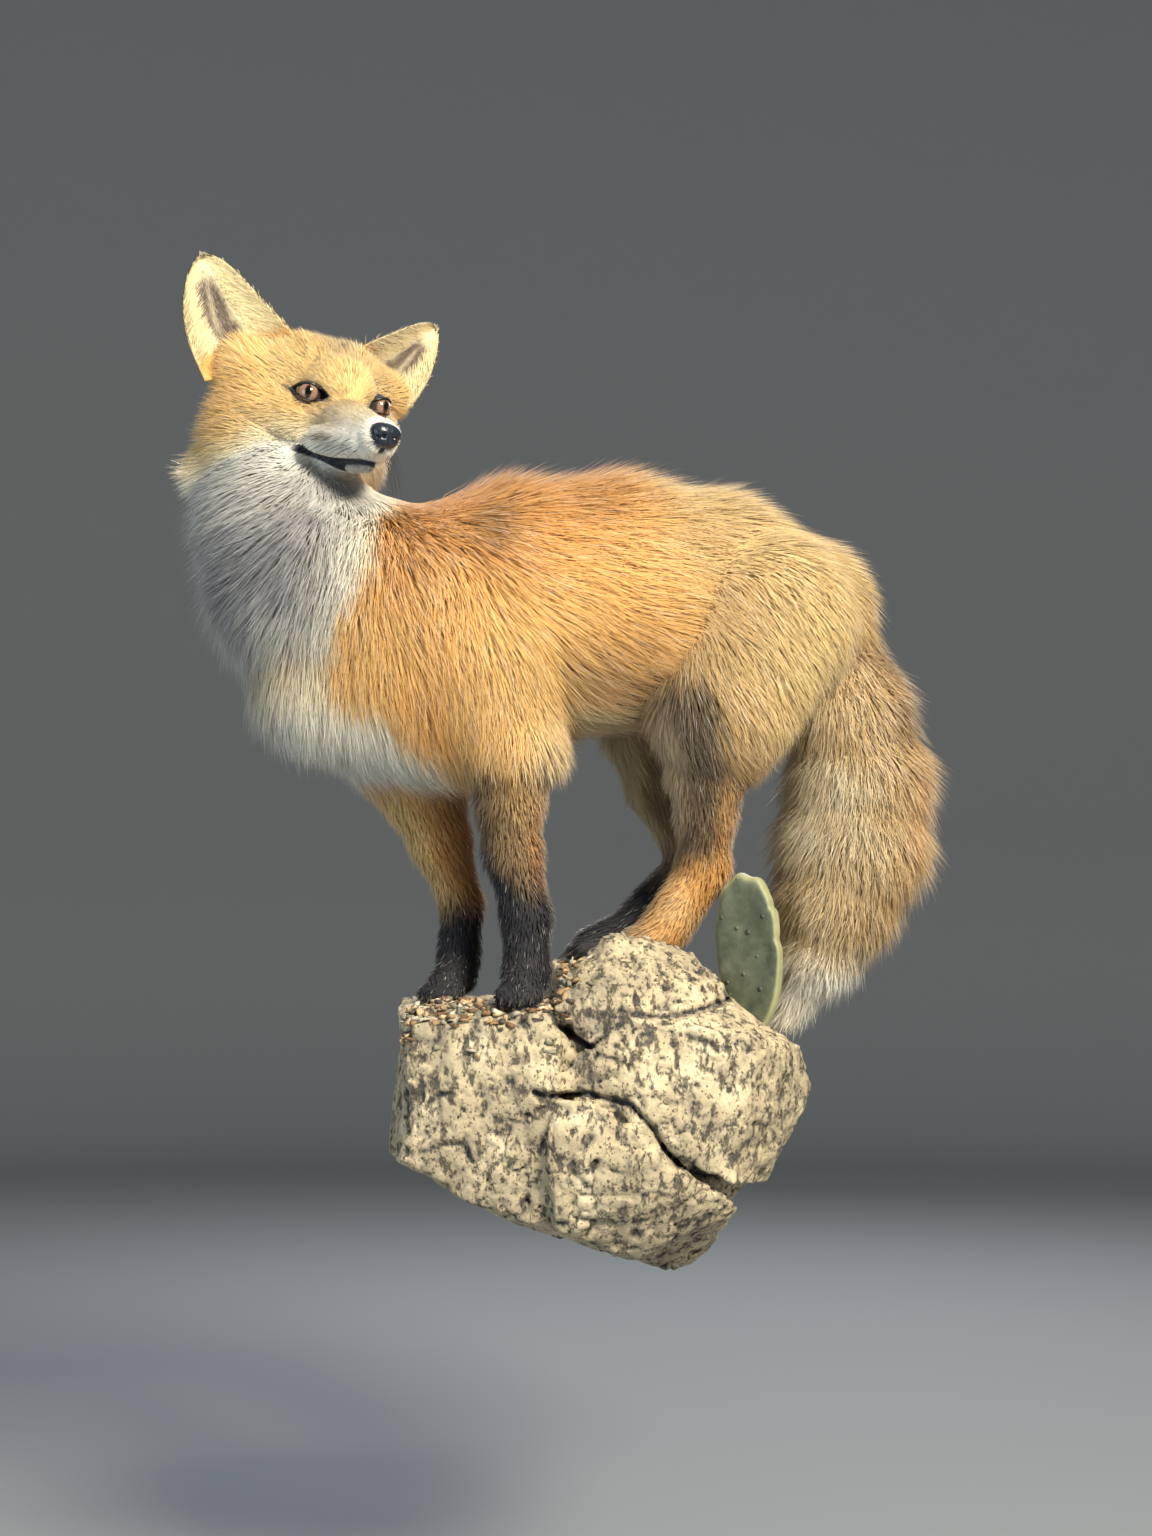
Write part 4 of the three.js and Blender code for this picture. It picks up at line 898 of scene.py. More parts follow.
# places of a face's corners, all on its first corner's chart and on one side of its seam
def faceCharts(points, faces, region, earPlace):
    first = region[faces[:, 0]]
    corners = []
    for k in range(3):
        corners.append(chartPlace(points[faces[:, k]], first, earPlace[faces[:, k]]))
    uv = np.stack(corners, 1)
    width = np.array([charts[name][2] * 0.92 for name in regions])[first]
    for k in (1, 2):
        step = uv[:, k, 0] - uv[:, 0, 0]
        uv[:, k, 0] -= np.where(step > width / 2, width, 0) - np.where(step < -width / 2, width, 0)
    left = np.array([charts[name][0] for name in regions])[first][:, None]
    full = np.array([charts[name][2] for name in regions])[first][:, None]
    uv[:, :, 0] = np.clip(uv[:, :, 0], left, left + full)
    return uv


# ---- meshes and materials
def makeMesh(name, points, faces, material, uv=None, shades=None, extras=None, cornerNormals=None):
    mesh = bpy.data.meshes.new(name)
    corners = faces.shape[1]
    mesh.vertices.add(len(points))
    mesh.vertices.foreach_set("co", (np.asarray(points) * millimetre).astype(np.float32).ravel())
    mesh.loops.add(faces.size)
    mesh.loops.foreach_set("vertex_index", faces.astype(np.int32).ravel())
    mesh.polygons.add(len(faces))
    mesh.polygons.foreach_set("loop_start", np.arange(0, faces.size, corners, dtype=np.int32))
    mesh.update(calc_edges=True)
    mesh.polygons.foreach_set("use_smooth", np.full(len(faces), True))
    if shades is not None:
        layer = mesh.color_attributes.new(name="shade", type="FLOAT_COLOR", domain="POINT")
        rgba = np.ones((len(points), 4), np.float32)
        rgba[:, :3] = shades
        layer.data.foreach_set("color", rgba.ravel())
    for key, values in (extras or {}).items():
        layer = mesh.attributes.new(name=key, type="FLOAT", domain="POINT")
        layer.data.foreach_set("value", np.asarray(values, np.float32).ravel())
    if uv is not None:
        layer = mesh.uv_layers.new(name="OFBake")
        layer.data.foreach_set("uv", np.asarray(uv, np.float32).ravel())
    mesh.validate()
    if cornerNormals is not None:
        mesh.normals_split_custom_set(cornerNormals.astype(np.float32))
    mesh.materials.append(material)
    piece = bpy.data.objects.new(name, mesh)
    bpy.context.scene.collection.objects.link(piece)
    return piece


class Socket:
    def __init__(self, tree, link):
        self.tree, self.link = tree, link

    def maths(self, operation, *values):
        node = self.tree.nodes.new("ShaderNodeMath")
        node.operation = operation
        for slot, value in zip(node.inputs, values):
            if isinstance(value, Socket):
                self.tree.links.new(value.link, slot)
            else:
                slot.default_value = value
        return Socket(self.tree, node.outputs[0])

    def __add__(self, other):
        return self.maths("ADD", self, other)

    def __sub__(self, other):
        return self.maths("SUBTRACT", self, other)

    def __rsub__(self, other):
        return self.maths("SUBTRACT", other, self)

    def __mul__(self, other):
        return self.maths("MULTIPLY", self, other)


class Finish:
    def __init__(self, name, **settings):
        self.material = bpy.data.materials.new(name)
        self.material.use_nodes = True
        self.tree = self.material.node_tree
        self.shader = self.tree.nodes["Principled BSDF"]
        for key, value in settings.items():
            self.shader.inputs[key].default_value = value

    # any node: its type, its settings, and the values or links of its inputs; gives one output
    def node(self, kind, output=0, stops=None, inputs=None, **settings):
        node = self.tree.nodes.new(kind)
        for key, value in settings.items():
            setattr(node, key, value)
        if stops:
            ramp = node.color_ramp
            while len(ramp.elements) < len(stops):
                ramp.elements.new(0.5)
            for element, (stop, colour) in zip(ramp.elements, stops):
                element.position = stop
                element.color = (*colour, 1)
        for key, value in (inputs or {}).items():
            if isinstance(value, Socket):
                self.tree.links.new(value.link, node.inputs[key])
            else:
                node.inputs[key].default_value = value
        return Socket(self.tree, node.outputs[output])

    def place(self):
        return self.node("ShaderNodeTexCoord", output="Object")

    def attribute(self, name, output="Color"):
        return self.node("ShaderNodeAttribute", output=output, attribute_name=name)

    def mixed(self, share, a, b, blend="MIX"):
        node = self.tree.nodes.new("ShaderNodeMix")
        node.data_type = "RGBA"
        node.blend_type = blend
        for index, value in ((0, share), (6, a), (7, b)):
            if isinstance(value, Socket):
                self.tree.links.new(value.link, node.inputs[index])
            elif index:
                node.inputs[index].default_value = (*value, 1)
            else:
                node.inputs[index].default_value = value
        return Socket(self.tree, node.outputs[2])

    def grains(self, place, scale, detail, roughness):
        return self.node("ShaderNodeTexNoise",
                         inputs={"Vector": place, "Scale": scale, "Detail": detail, "Roughness": roughness})

    # a value stretched so that low gives 0 and high gives 1
    def between(self, value, low, high):
        return self.node("ShaderNodeMapRange", inputs={"Value": value, "From Min": low, "From Max": high})

    def plug(self, key, socket):
        self.tree.links.new(socket.link, self.shader.inputs[key])

    def bump(self, height, distance, strength):
        settings = {"Height": height, "Distance": distance, "Strength": strength}
        self.plug("Normal", self.node("ShaderNodeBump", inputs=settings))


def coatFinish():
    finish = Finish("fur", **{"Roughness": 0.62, "Specular IOR Level": 0.22, "Sheen Weight": 0.25,
                              "Sheen Roughness": 0.45})
    finish.plug("Base Color", finish.attribute("shade"))
    return finish.material


def skinFinish():
    finish = Finish("skin and underfur", **{"Specular IOR Level": 0.3})
    place = finish.place()
    grain = finish.grains(place, 900.0, 3.0, 0.6)
    shade = finish.mixed(0.35, finish.attribute("shade"), grain, "OVERLAY")
    finish.plug("Base Color", shade)
    wet = finish.attribute("wet", "Fac")
    finish.plug("Roughness", 0.75 - wet * 0.42)
    finish.bump(grain, 0.0006, 0.7)
    return finish.material


furFinish = coatFinish()
hideFinish = skinFinish()

# ---- the skin: body and ears in one mesh
skinRegion, _ = regionAndLie(skinPoints, skinNormals)
earParts = {name: earShell(places) for name, places in earPlaces.items()}
allPoints, allFaces, allRegion = [skinPoints], [skinFaces], [skinRegion]
allEar = [np.zeros((len(skinPoints), 2))]
allSide = [np.zeros(len(skinPoints))]
for name, (points, faces, side, place) in earParts.items():
    start = sum(len(p) for p in allPoints)
    allPoints.append(points)
    allFaces.append(faces + start)
    allRegion.append(np.full(len(points), regions.index(name)))
    allEar.append(place)
    allSide.append(side)
allPoints, allFaces = np.concatenate(allPoints), np.concatenate(allFaces)
allRegion, allEar, allSide = np.concatenate(allRegion), np.concatenate(allEar), np.concatenate(allSide)
allNormals = pointNormals(allPoints, allFaces)
earTones = dict(edge=(0.93, 0.80, 0.47), hollow=(0.115, 0.085, 0.072))


# colours of an ear: black behind, cream within with a dark edge, two hollows darkened with painted shade,
# and a pale streak
def earShades(points, side, place):
    across = place[:, 0]
    rise = place[:, 1]
    wander = noise(points, 12)
    shade = mix(tones["cream"], tones["straw"], 0.5 * smooth(0.3, 0.9, np.abs(across)))
    shade = mix(shade, np.array(earTones["edge"]), 0.95 * smooth(-0.24, -0.45, across))
    # painted shade in the ear's two hollows
    upper = np.exp(-((across - 0.20) / 0.42) ** 4 - ((rise - 0.53) / 0.23) ** 4)
    lower = np.exp(-((across - 0.05) / 0.32) ** 4 - ((rise - 0.22) / 0.085) ** 4)
    hollow = np.clip(1.5 * upper + 1.4 * lower + 0.10 * wander, 0, 0.97)
    shade = mix(shade, np.array(earTones["hollow"]), hollow)
    streak = np.exp(-((across - 0.3 + 0.3 * rise) / 0.07) ** 2)
    streak = streak * smooth(0.1, 0.3, rise) * smooth(0.8, 0.6, rise)
    shade = mix(shade, tones["cream"], 0.45 * streak)
    shade = mix(shade, mix(tones["gold"], tones["orange"], 0.6), smooth(0.08, -0.02, rise))
    edge = np.maximum(smooth(0.93, 1.0, np.abs(across)), smooth(0.95, 0.99, rise)) * (rise > 0)
    shade = mix(shade, tones["umber"], 0.5 * edge)
    back = mix(tones["dark"], tones["orange"], smooth(0.35, 0.05, rise + 0.08 * wander))
    return np.where((side < 0)[:, None], back, shade)


allShade, allBlack, allPale, allBare, allRim = markingsAndPaintedLight(allPoints, allNormals, allRegion)
for name in earPlaces:
    here = allRegion == regions.index(name)
    allShade[here] = earShades(allPoints[here], allSide[here], allEar[here])
coatDepth = np.clip(-sample(coatField, gridLines, allPoints), 0, deepestCoat)
deep = smooth(3, 16, coatDepth) * (allRegion < firstEar)
# painted light: the skin is made brighter where the coat over it is deep, to lift the shade the tufts cast
skinShade = np.clip(allShade * (1.0 + 0.15 * deep)[:, None], 0, 0.95)
skinPlaces = faceCharts(allPoints, allFaces, allRegion, allEar)
skin = makeMesh("skin", allPoints, allFaces, hideFinish, uv=skinPlaces, shades=skinShade,
                extras=dict(wet=allBare))
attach(skin, "root")
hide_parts("trunk", "neck", "head", "lower_jaw", "front_left_shoulder", "front_right_shoulder",
            "hind_left_thigh", "hind_right_thigh", "ear_right", "ear_left",
            "tail_base", "tail_middle", "tail_tip",
            "front_left_leg", "front_left_paw", "front_right_leg", "front_right_paw",
            "hind_left_leg", "hind_left_paw", "hind_right_leg", "hind_right_paw")
print("stage: skin made")

# ---- roots of the tufts
random = np.random.default_rng(31)
cornerPoints = allPoints[allFaces]
faceSides = cornerPoints[:, 1:] - cornerPoints[:, :1]
faceArea = np.linalg.norm(np.cross(faceSides[:, 0], faceSides[:, 1]), axis=-1) / 2
faceCentre = cornerPoints.mean(1)
faceRegion = allRegion[allFaces[:, 0]]


# places spread evenly over the faces in proportion to their area and a weight
def spread(weight, count):
    share = np.cumsum(faceArea * weight)
    picks = (np.arange(count) + random.random(count)) / count * share[-1]
    face = np.searchsorted(share, picks)
    r1 = np.sqrt(random.random(count))
    r2 = random.random(count)
    w = np.stack([1 - r1, r1 * (1 - r2), r1 * r2], -1)
    corners = allFaces[face]

    def blend(values):
        return (values[corners] * w.reshape(w.shape + (1,) * (values.ndim - 1))).sum(1)
    return dict(point=blend(allPoints), normal=unit(blend(allNormals)), shade=blend(allShade),
                black=blend(allBlack), pale=blend(allPale), bare=blend(allBare), rim=blend(allRim),
                ear=blend(allEar), side=allSide[corners[:, 0]], region=allRegion[corners[:, 0]])


# ---- tufts: a three-sided spindle, pointed at its root and its tip, that rises from the skin to the
# outside of the coat and bends over along the lie of the fur
tuft = dict(belly=0.44, sink=0.8, risePower=1.9, runPower=1.2, thick=0.8,  # shape
            root=0.98, tip=1.07, ring=0.90, ringGain=0.15,  # how bright it is along its length
            upright=0.85, flat=0.2, lying=0.2, least=0.12)  # which way its corners face for the light
wallGap = 6  # hairs that come nearer to the wall than this are pressed flat before it
unwrapPatch = 0.0030  # how much of the sheet a tuft's own small unwrap takes


def tuftMesh(name, roots, lie, rise, run, width, curl):
    n = len(roots["point"])
    point, normal = roots["point"], roots["normal"]
    side = unit(np.cross(normal, lie))

    def middle(t):
        up = rise * (1 - (1 - t) ** tuft["risePower"])
        forward = run * t ** tuft["runPower"]
        sunk = tuft["sink"] * (1 - t)
        return point + normal * (up - sunk)[:, None] + lie * forward[:, None] + curl * (t * t)
    centre = middle(tuft["belly"])
    along = unit(middle(tuft["belly"] + 0.06) - centre)
    flat = unit(side - dot(side, along)[:, None] * along)
    up = np.cross(along, flat)
    half = (width / 2)[:, None]
    ring = np.stack([centre - flat * half, centre + flat * half, centre + up * half * tuft["thick"]], 1)
    verts = np.concatenate([middle(0.0)[:, None], ring, middle(1.0)[:, None]], 1)
    y = verts[..., 1]
    verts[..., 1] = np.where(y > -wallGap, -wallGap * np.exp(-(y + wallGap) / wallGap), y)
    base = roots["shade"] * roots["tint"][:, None]
    tip = mix(base * tuft["tip"], tones["dark"], roots["blackTip"])
    tip = mix(tip, tones["white"], roots["paleTip"])
    ringShade = base * (tuft["ring"] + tuft["ringGain"] * tuft["belly"])
    shades = np.stack([base * tuft["root"], ringShade, ringShade, ringShade, tip], 1)
    spindle = [[[0, 1 + b, 1 + a], [1 + a, 1 + b, 4]] for a, b in ((0, 1), (1, 2), (2, 0))]
    faces = facingOut(verts[0], np.array(spindle).reshape(-1, 3), verts[0][0])

    # corners face for the light mostly as the skin below them does, so that the coat shades softly
    corners = verts[:, faces]
    faceNormal = unit(np.cross(corners[:, :, 1] - corners[:, :, 0], corners[:, :, 2] - corners[:, :, 0]))
    soft = tuft["upright"] * normal[:, None] + tuft["flat"] * faceNormal
    soft = unit(soft + tuft["lying"] * lie[:, None])
    soft = np.where(dot(soft, faceNormal)[..., None] < tuft["least"], faceNormal, soft)
    everyFace = (np.arange(n)[:, None, None] * 5 + faces).reshape(-1, 3)
    offsets = np.array([(0, -0.5), (-0.5, -0.12), (0.5, -0.12), (0.02, 0.12), (0.04, 0.5)]) * unwrapPatch
    uv = np.clip(roots["uv"][:, None] + offsets, 0.0005, 0.9995)
    piece = makeMesh(name, verts.reshape(-1, 3), everyFace, furFinish,
                     uv=uv.reshape(-1, 2)[everyFace.ravel()],
                     shades=shades.reshape(-1, 3), cornerNormals=np.repeat(soft.reshape(-1, 3), 3, 0))
    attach(piece, "root")
    print("stage:", name, n, "tufts", len(everyFace), "triangles")


# a piece of the coat: its name, the share of the tufts that each face gets, how many they are, its
# slot, which is kept with its roots but not used, and how they look
def dress(name, weight, count, slot, look):
    look = {**furLook, **look}
    roots = spread(weight, count)
    keep = roots["bare"] < 0.35
    roots = {key: value[keep] for key, value in roots.items()}
    n = len(roots["point"])
    point, normal = roots["point"], roots["normal"]
    _, lie = regionAndLie(point, normal)
    depth = np.clip(-sample(coatField, gridLines, point), 0.4, deepestCoat)
    roll = random.random((n, 6))
    waves = noiseVector(point, look["waveSize"]) * look["wave"] + random.normal(size=(n, 3)) * look["stray"]
    lie = lie + waves
    lie = unit(lie - dot(lie, normal)[:, None] * normal)
    if "lie" in look:
        lie = look["lie"](roots, lie)
    low = roll[:, 5] < look["low"]
    standing = roll[:, 5] > 1 - look["standing"]
    rise = depth * np.where(low, 0.45 + 0.4 * roll[:, 0],
                            look["reach"] + look["reachSpread"] * (roll[:, 0] - 0.5))
    rise = rise * np.where(standing, 1.2, 1.0)
    run = look["run"][0] + look["run"][1] * depth + look["backRun"] * smooth(30, -10, toHead(point)[:, 0])
    run = run * (0.75 + 0.5 * roll[:, 1])
    clear = np.maximum(roots["rim"] - 0.8, 0)
    run = np.minimum(run, 0.9 + 0.85 * clear)
    rise = np.minimum(rise, 0.8 + 0.7 * clear)
    width = look["width"] * (0.75 + 0.5 * roll[:, 2]) * np.where(low, 1.75, np.where(standing, 0.62, 0.8))
    clump = noiseVector(point, look["clumpSize"]) * look["clump"]
    clump = clump - dot(clump, normal)[:, None] * normal * 0.6
    clump[:, 2] -= look["droop"]
    roots["tint"] = 0.98 + look["grain"] * (roll[:, 3] - 0.5) + 0.08 * noise(point, 8, 4.0)
    roots["blackTip"] = (roll[:, 4] < roots["black"] + look["black"]) * 0.75
    roots["paleTip"] = (roll[:, 4] > 1 - roots["pale"] - look["pale"]) * 0.55
    roots["uv"] = chartPlace(point, roots["region"], roots["ear"])
    roots["slot"] = slot
    if "size" in look:
        rise, run = look["size"](roots)
    tuftMesh(name, roots, lie, rise, run, width, clump)


legTop = 262  # the coat of the body goes down to here
faceBack = -14  # and the coat of the face back to here in the head's frame
isHead = faceRegion == regions.index("head")
isLimb = (faceRegion >= regions.index("frontLeft")) & (faceRegion <= regions.index("hindRight"))
isBody = (faceRegion == regions.index("trunk")) | (isLimb & (faceCentre[:, 2] > legTop))
isLeg = isLimb & (faceCentre[:, 2] <= legTop)
isNeck = faceRegion == regions.index("neck")
isTail = faceRegion == regions.index("tail")
isEar = faceRegion >= firstEar
faceForward = toHead(faceCentre)[:, 0]
isFace = isHead & (faceForward > faceBack)
isCrown = isHead & (faceForward <= faceBack)
faceX = faceCentre[:, 0]


# how the tufts of a piece look. They reach this share of the coat's depth, give or take the spread,
# and lie over by run: a length and a share of the depth, with backRun more behind the eyes. Wave and
# stray turn them, clump and droop bend them. Low, standing, black and pale are shares of the tufts
furLook = dict(reach=0.95, reachSpread=0.4, backRun=0, stray=0.14, droop=0, low=0.48, standing=0,
               grain=0.16, black=0.04, pale=0.1)
trunkLook = dict(reachSpread=0.35, run=(18, 1.05), width=0.80, waveSize=20, wave=0.25, clumpSize=13,
                 clump=2.2, pale=0.14, droop=0.5, standing=0.12)

dress("coat_face", isFace * (1 + 1.2 * smooth(0, 40, faceForward)), 29000, "coat_orange",
      dict(reach=0.85, reachSpread=0.5, run=(5.0, 1.5), backRun=4.0, width=0.60, waveSize=9, wave=0.12,
           stray=0.10, clumpSize=4, clump=0.4, black=0.02, low=0.3, grain=0.36))
dress("coat_crown", isCrown * 1.0, 26000, "coat_orange",
      dict(reach=0.92, run=(11, 0.85), width=0.70, waveSize=14, wave=0.18, clumpSize=11, clump=1.6,
           black=0.03, pale=0.12, standing=0.08, grain=0.28))
dress("coat_neck", isNeck * 1.0, 32500, "coat_white",
      dict(reachSpread=0.35, run=(15, 0.8), width=0.82, waveSize=17, wave=0.30, stray=0.15, clumpSize=11,
           clump=3.6, black=0.03, pale=0.2, droop=0.6, standing=0.14))
dress("coat_chest", isBody & (faceX < -70), 31500, "coat_orange", trunkLook)
dress("coat_flank", isBody & (faceX >= -70) & (faceX < 50), 31500, "coat_orange", trunkLook)
dress("coat_rump", isBody & (faceX >= 50), 31500, "coat_rump", trunkLook)
dress("coat_legs", isLeg * 1.0, 24000, "coat_dark",
      dict(run=(5.0, 0.9), width=0.9, waveSize=10, wave=0.16, clumpSize=5, clump=0.9, pale=0.06, low=0.3,
           standing=0.08))
dress("coat_tail", isTail * 1.0, 31500, "coat_tail",
      dict(reach=0.96, run=(13, 0.55), width=0.86, waveSize=11, wave=0.26, stray=0.22, clumpSize=6,
           clump=3.0, pale=0.08, droop=0.8, standing=0.12))


# the hair of an ear lies towards its tip, and from its edges in over its open side
def earLie(roots, lie):
    out = lie.copy()
    for name, places in earPlaces.items():
        here = roots["region"] == regions.index(name)
        inner, outer, tip = (inHead(*places[k]) for k in ("inner", "outer", "tip"))
        along = unit(tip - (inner + outer) / 2)
        half = unit(outer - inner)
        across = roots["ear"][here, 0][:, None]
        way = along + half * across * 0.1
        atEdge = (roots["side"][here] > 0)[:, None] & (np.abs(across) > 0.5)
        way = np.where(atEdge, along * 0.6 - half * np.sign(across) * 0.7, way)
        n = roots["normal"][here]
        out[here] = unit(way - dot(way, n)[:, None] * n + 0.12 * random.normal(size=n.shape))
    return out


# it is longest near the edges of the open side, and short behind
def earSize(roots):
    inside = roots["side"] > 0
    across, up = np.abs(roots["ear"][:, 0]), roots["ear"][:, 1]
    longer = smooth(0.3, 0.8, across) * smooth(0.95, 0.5, up)
    rise = np.where(inside, 0.8 + 2.2 * longer, 0.6)
    run = np.where(inside, 6 + 9 * longer * (1 - 0.5 * up), 4.5)
    edge = smooth(0.9, 1.0, across)
    run = run * (1 - 0.5 * edge * smooth(0.6, 1, up))
    return rise * (1 - 0.4 * edge), run


dress("coat_ears", isEar * (allEar[allFaces[:, 0], 1] > -0.08), 12500, "coat_cream",
      dict(run=(6, 0), width=0.8, waveSize=10, wave=0.1, stray=0.05, clumpSize=5, clump=0.4, black=0.05,
           low=0, lie=earLie, size=earSize))

# ---- hard parts of the head
glassFinish = Finish("glass eye", **{"Roughness": 0.04, "IOR": 1.5, "Coat Weight": 1.0,
                                     "Coat Roughness": 0.02})
glassFinish.plug("Base Color", glassFinish.attribute("shade"))
rimFinish = Finish("eyelid", **{"Base Color": (0.012, 0.010, 0.010, 1), "Roughness": 0.32})
noseFinish = Finish("nose", **{"Roughness": 0.27, "Specular IOR Level": 0.6})
pebbles = noseFinish.node("ShaderNodeTexVoronoi", inputs={"Vector": noseFinish.place(), "Scale": 900.0},
                          feature="SMOOTH_F1")
leather = noseFinish.mixed(pebbles, (0.007, 0.012, 0.022), (0.020, 0.028, 0.044))
noseFinish.plug("Base Color", noseFinish.mixed(1.0, leather, noseFinish.attribute("shade"), "MULTIPLY"))
noseFinish.bump(pebbles, 0.0004, 0.5)
clawFinish = Finish("claw", **{"Base Color": (0.05, 0.042, 0.036, 1), "Roughness": 0.4})
whiskerFinish = Finish("whisker", **{"Base Color": (0.02, 0.017, 0.015, 1), "Roughness": 0.4})

eyeTones = dict(white=(0.035, 0.037, 0.042), inner=(0.25, 0.135, 0.085), outer=(0.40, 0.255, 0.17),
                rim=(0.05, 0.025, 0.02), pupil=(0.003, 0.003, 0.003))
pupil = dict(halfWidth=0.22, halfHeight=0.46)
lidTube = dict(steps=128, sides=10, radius=0.6, thicker=0.45)


# a ball of rings round the way it looks; the iris and pupil are colours, the cornea stands proud
def eyeball(name, sign):
    centre, gaze, noseward, upward = eyeAxes(sign)
    rings, sectors = 56, 64
    polar = np.linspace(0, np.pi, rings + 1)[1:-1]
    turnRound = np.linspace(0, 2 * np.pi, sectors, endpoint=False)
    p, a = np.meshgrid(polar, turnRound, indexing="ij")
    swell = eye["radius"] - eye["sunk"] + (eye["proud"] + eye["sunk"]) * np.exp(-(p / eye["cornea"]) ** 4)
    around = np.cos(a)[..., None] * noseward + np.sin(a)[..., None] * upward
    points = centre + swell[..., None] * (np.cos(p)[..., None] * gaze + np.sin(p)[..., None] * around)
    h = np.stack([np.sin(p) * np.cos(a), np.sin(p) * np.sin(a)], -1)
    front = centre + (eye["radius"] + eye["proud"]) * gaze
    back = centre - (eye["radius"] - eye["sunk"]) * gaze
    points = np.concatenate([points.reshape(-1, 3), [front], [back]])
    h = np.concatenate([h.reshape(-1, 2), [[0, 0]], [[0, 0]]])
    radius = np.concatenate([p.ravel(), [0], [np.pi]])
    n = (rings - 1) * sectors
    index = np.arange(n).reshape(rings - 1, sectors)
    after = np.roll(index, -1, 1)
    faces = [ringFaces(index)]
    faces.append(np.stack([np.full(sectors, n), index[0], after[0]], -1))
    faces.append(np.stack([np.full(sectors, n + 1), after[-1], index[-1]], -1))
    faces = facingOut(points, np.concatenate(faces), centre)
    h[:, 0] -= glance[sign] * np.cos(radius)
    frontHalf = 1.4  # how far round the ball, in radians, its slid iris is drawn
    radius = np.where(radius < frontHalf, np.arcsin(np.clip(np.hypot(h[:, 0], h[:, 1]), 0, 1)), radius)
    fromPupil = np.sqrt((h[:, 0] / pupil["halfWidth"]) ** 2 + (h[:, 1] / pupil["halfHeight"]) ** 2)
    dark = smooth(1.12, 0.9, fromPupil) * (radius < frontHalf)
    iris = smooth(0.80, 0.74, radius)
    rays = 0.5 + 0.5 * np.sin(np.arctan2(h[:, 1], h[:, 0]) * 31 + 2 * np.sin(radius * 30))
    colours = {key: np.array(tone) for key, tone in eyeTones.items()}
    brown = mix(colours["inner"], colours["outer"], 0.7 * rays * smooth(0.2, 0.6, radius))
    brown = mix(brown, colours["rim"], smooth(0.60, 0.76, radius))
    shade = mix(mix(colours["white"], brown, iris), colours["pupil"], dark)
    piece = makeMesh(name, points, faces, glassFinish.material, shades=shade)
    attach(piece, "root")
    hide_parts(name)


# the edge of the lids: a dark tube along the two arcs, lying where they meet the face
def lidRim(name, sign):
    centre, gaze, noseward, upward = eyeAxes(sign)
    steps, sides = lidTube["steps"], lidTube["sides"]
    w = lids["halfWidth"]
    half = np.linspace(-1, 1, steps // 2 + 1)
    x = np.concatenate([half[:-1] * w, -half[:-1] * w])
    y = np.zeros(steps)
    for sag, way, part in ((lids["upper"], 1, slice(0, steps // 2)),
                           (lids["lower"], -1, slice(steps // 2, steps))):
        r = (w * w + sag * sag) / (2 * sag)
        y[part] = way * (sag - r + np.sqrt(r * r - x[part] ** 2)) - lids["tilt"] * x[part]
    base = centre + (x + lids["shift"])[:, None] * noseward + y[:, None] * upward
    heights = np.linspace(18, -2, 81)
    probes = base[:, None] + heights[None, :, None] * gaze
    inside = sample(plainFace, faceLines, probes.reshape(-1, 3)).reshape(steps, -1) < 0
    ball = np.sqrt(np.maximum((eye["radius"] + 0.6) ** 2 - (x + lids["shift"]) ** 2 - y ** 2, 0))
    h = np.clip(np.where(inside.any(1), heights[np.argmax(inside, axis=1)], ball), ball, ball + 3.5)
    for _ in range(6):
        h = (np.roll(h, 1) + 2 * h + np.roll(h, -1)) / 4
    line = base + h[:, None] * gaze
    tangent = unit(np.roll(line, -1, 0) - np.roll(line, 1, 0))
    outward = unit(np.cross(tangent, gaze))
    above = np.cross(tangent, outward)
    thick = lidTube["radius"] + lidTube["thicker"] * smooth(-2, 5, y)
    rows = []
    for k in range(sides):
        a = 2 * np.pi * k / sides
        rows.append(line + (outward * math.sin(a) + above * math.cos(a)) * thick[:, None])
    rows = np.stack(rows, 1)
    index = np.arange(steps * sides).reshape(steps, sides)
    nextRow, nextStep = np.roll(index, -1, 0), np.roll(index, -1, 1)
    quads = np.stack([index, nextRow, np.roll(nextRow, -1, 1), nextStep], -1).reshape(-1, 4)
    faces = triangles(quads)
    points = rows.reshape(-1, 3)
    middles = np.repeat(line, sides, 0)
    if dot(pointNormals(points, faces), points - middles).sum() < 0:
        faces = faces[:, ::-1]
    piece = makeMesh(name, points, faces, rimFinish.material)
    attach(piece, "root")


for name, rim, sign in (("eye_right", "lid_right", 1), ("eye_left", "lid_left", -1)):
    eyeball(name, sign)
    lidRim(rim, sign)
print("stage: eyes")

# ---- the nose: a block of leather with a nostril cut into each side and a groove down its middle
noseShape = dict(place=(78, 0, -28.5), size=(9, 11.5, 9.5), nostril=(4.9, -1.0), deep=2.6)


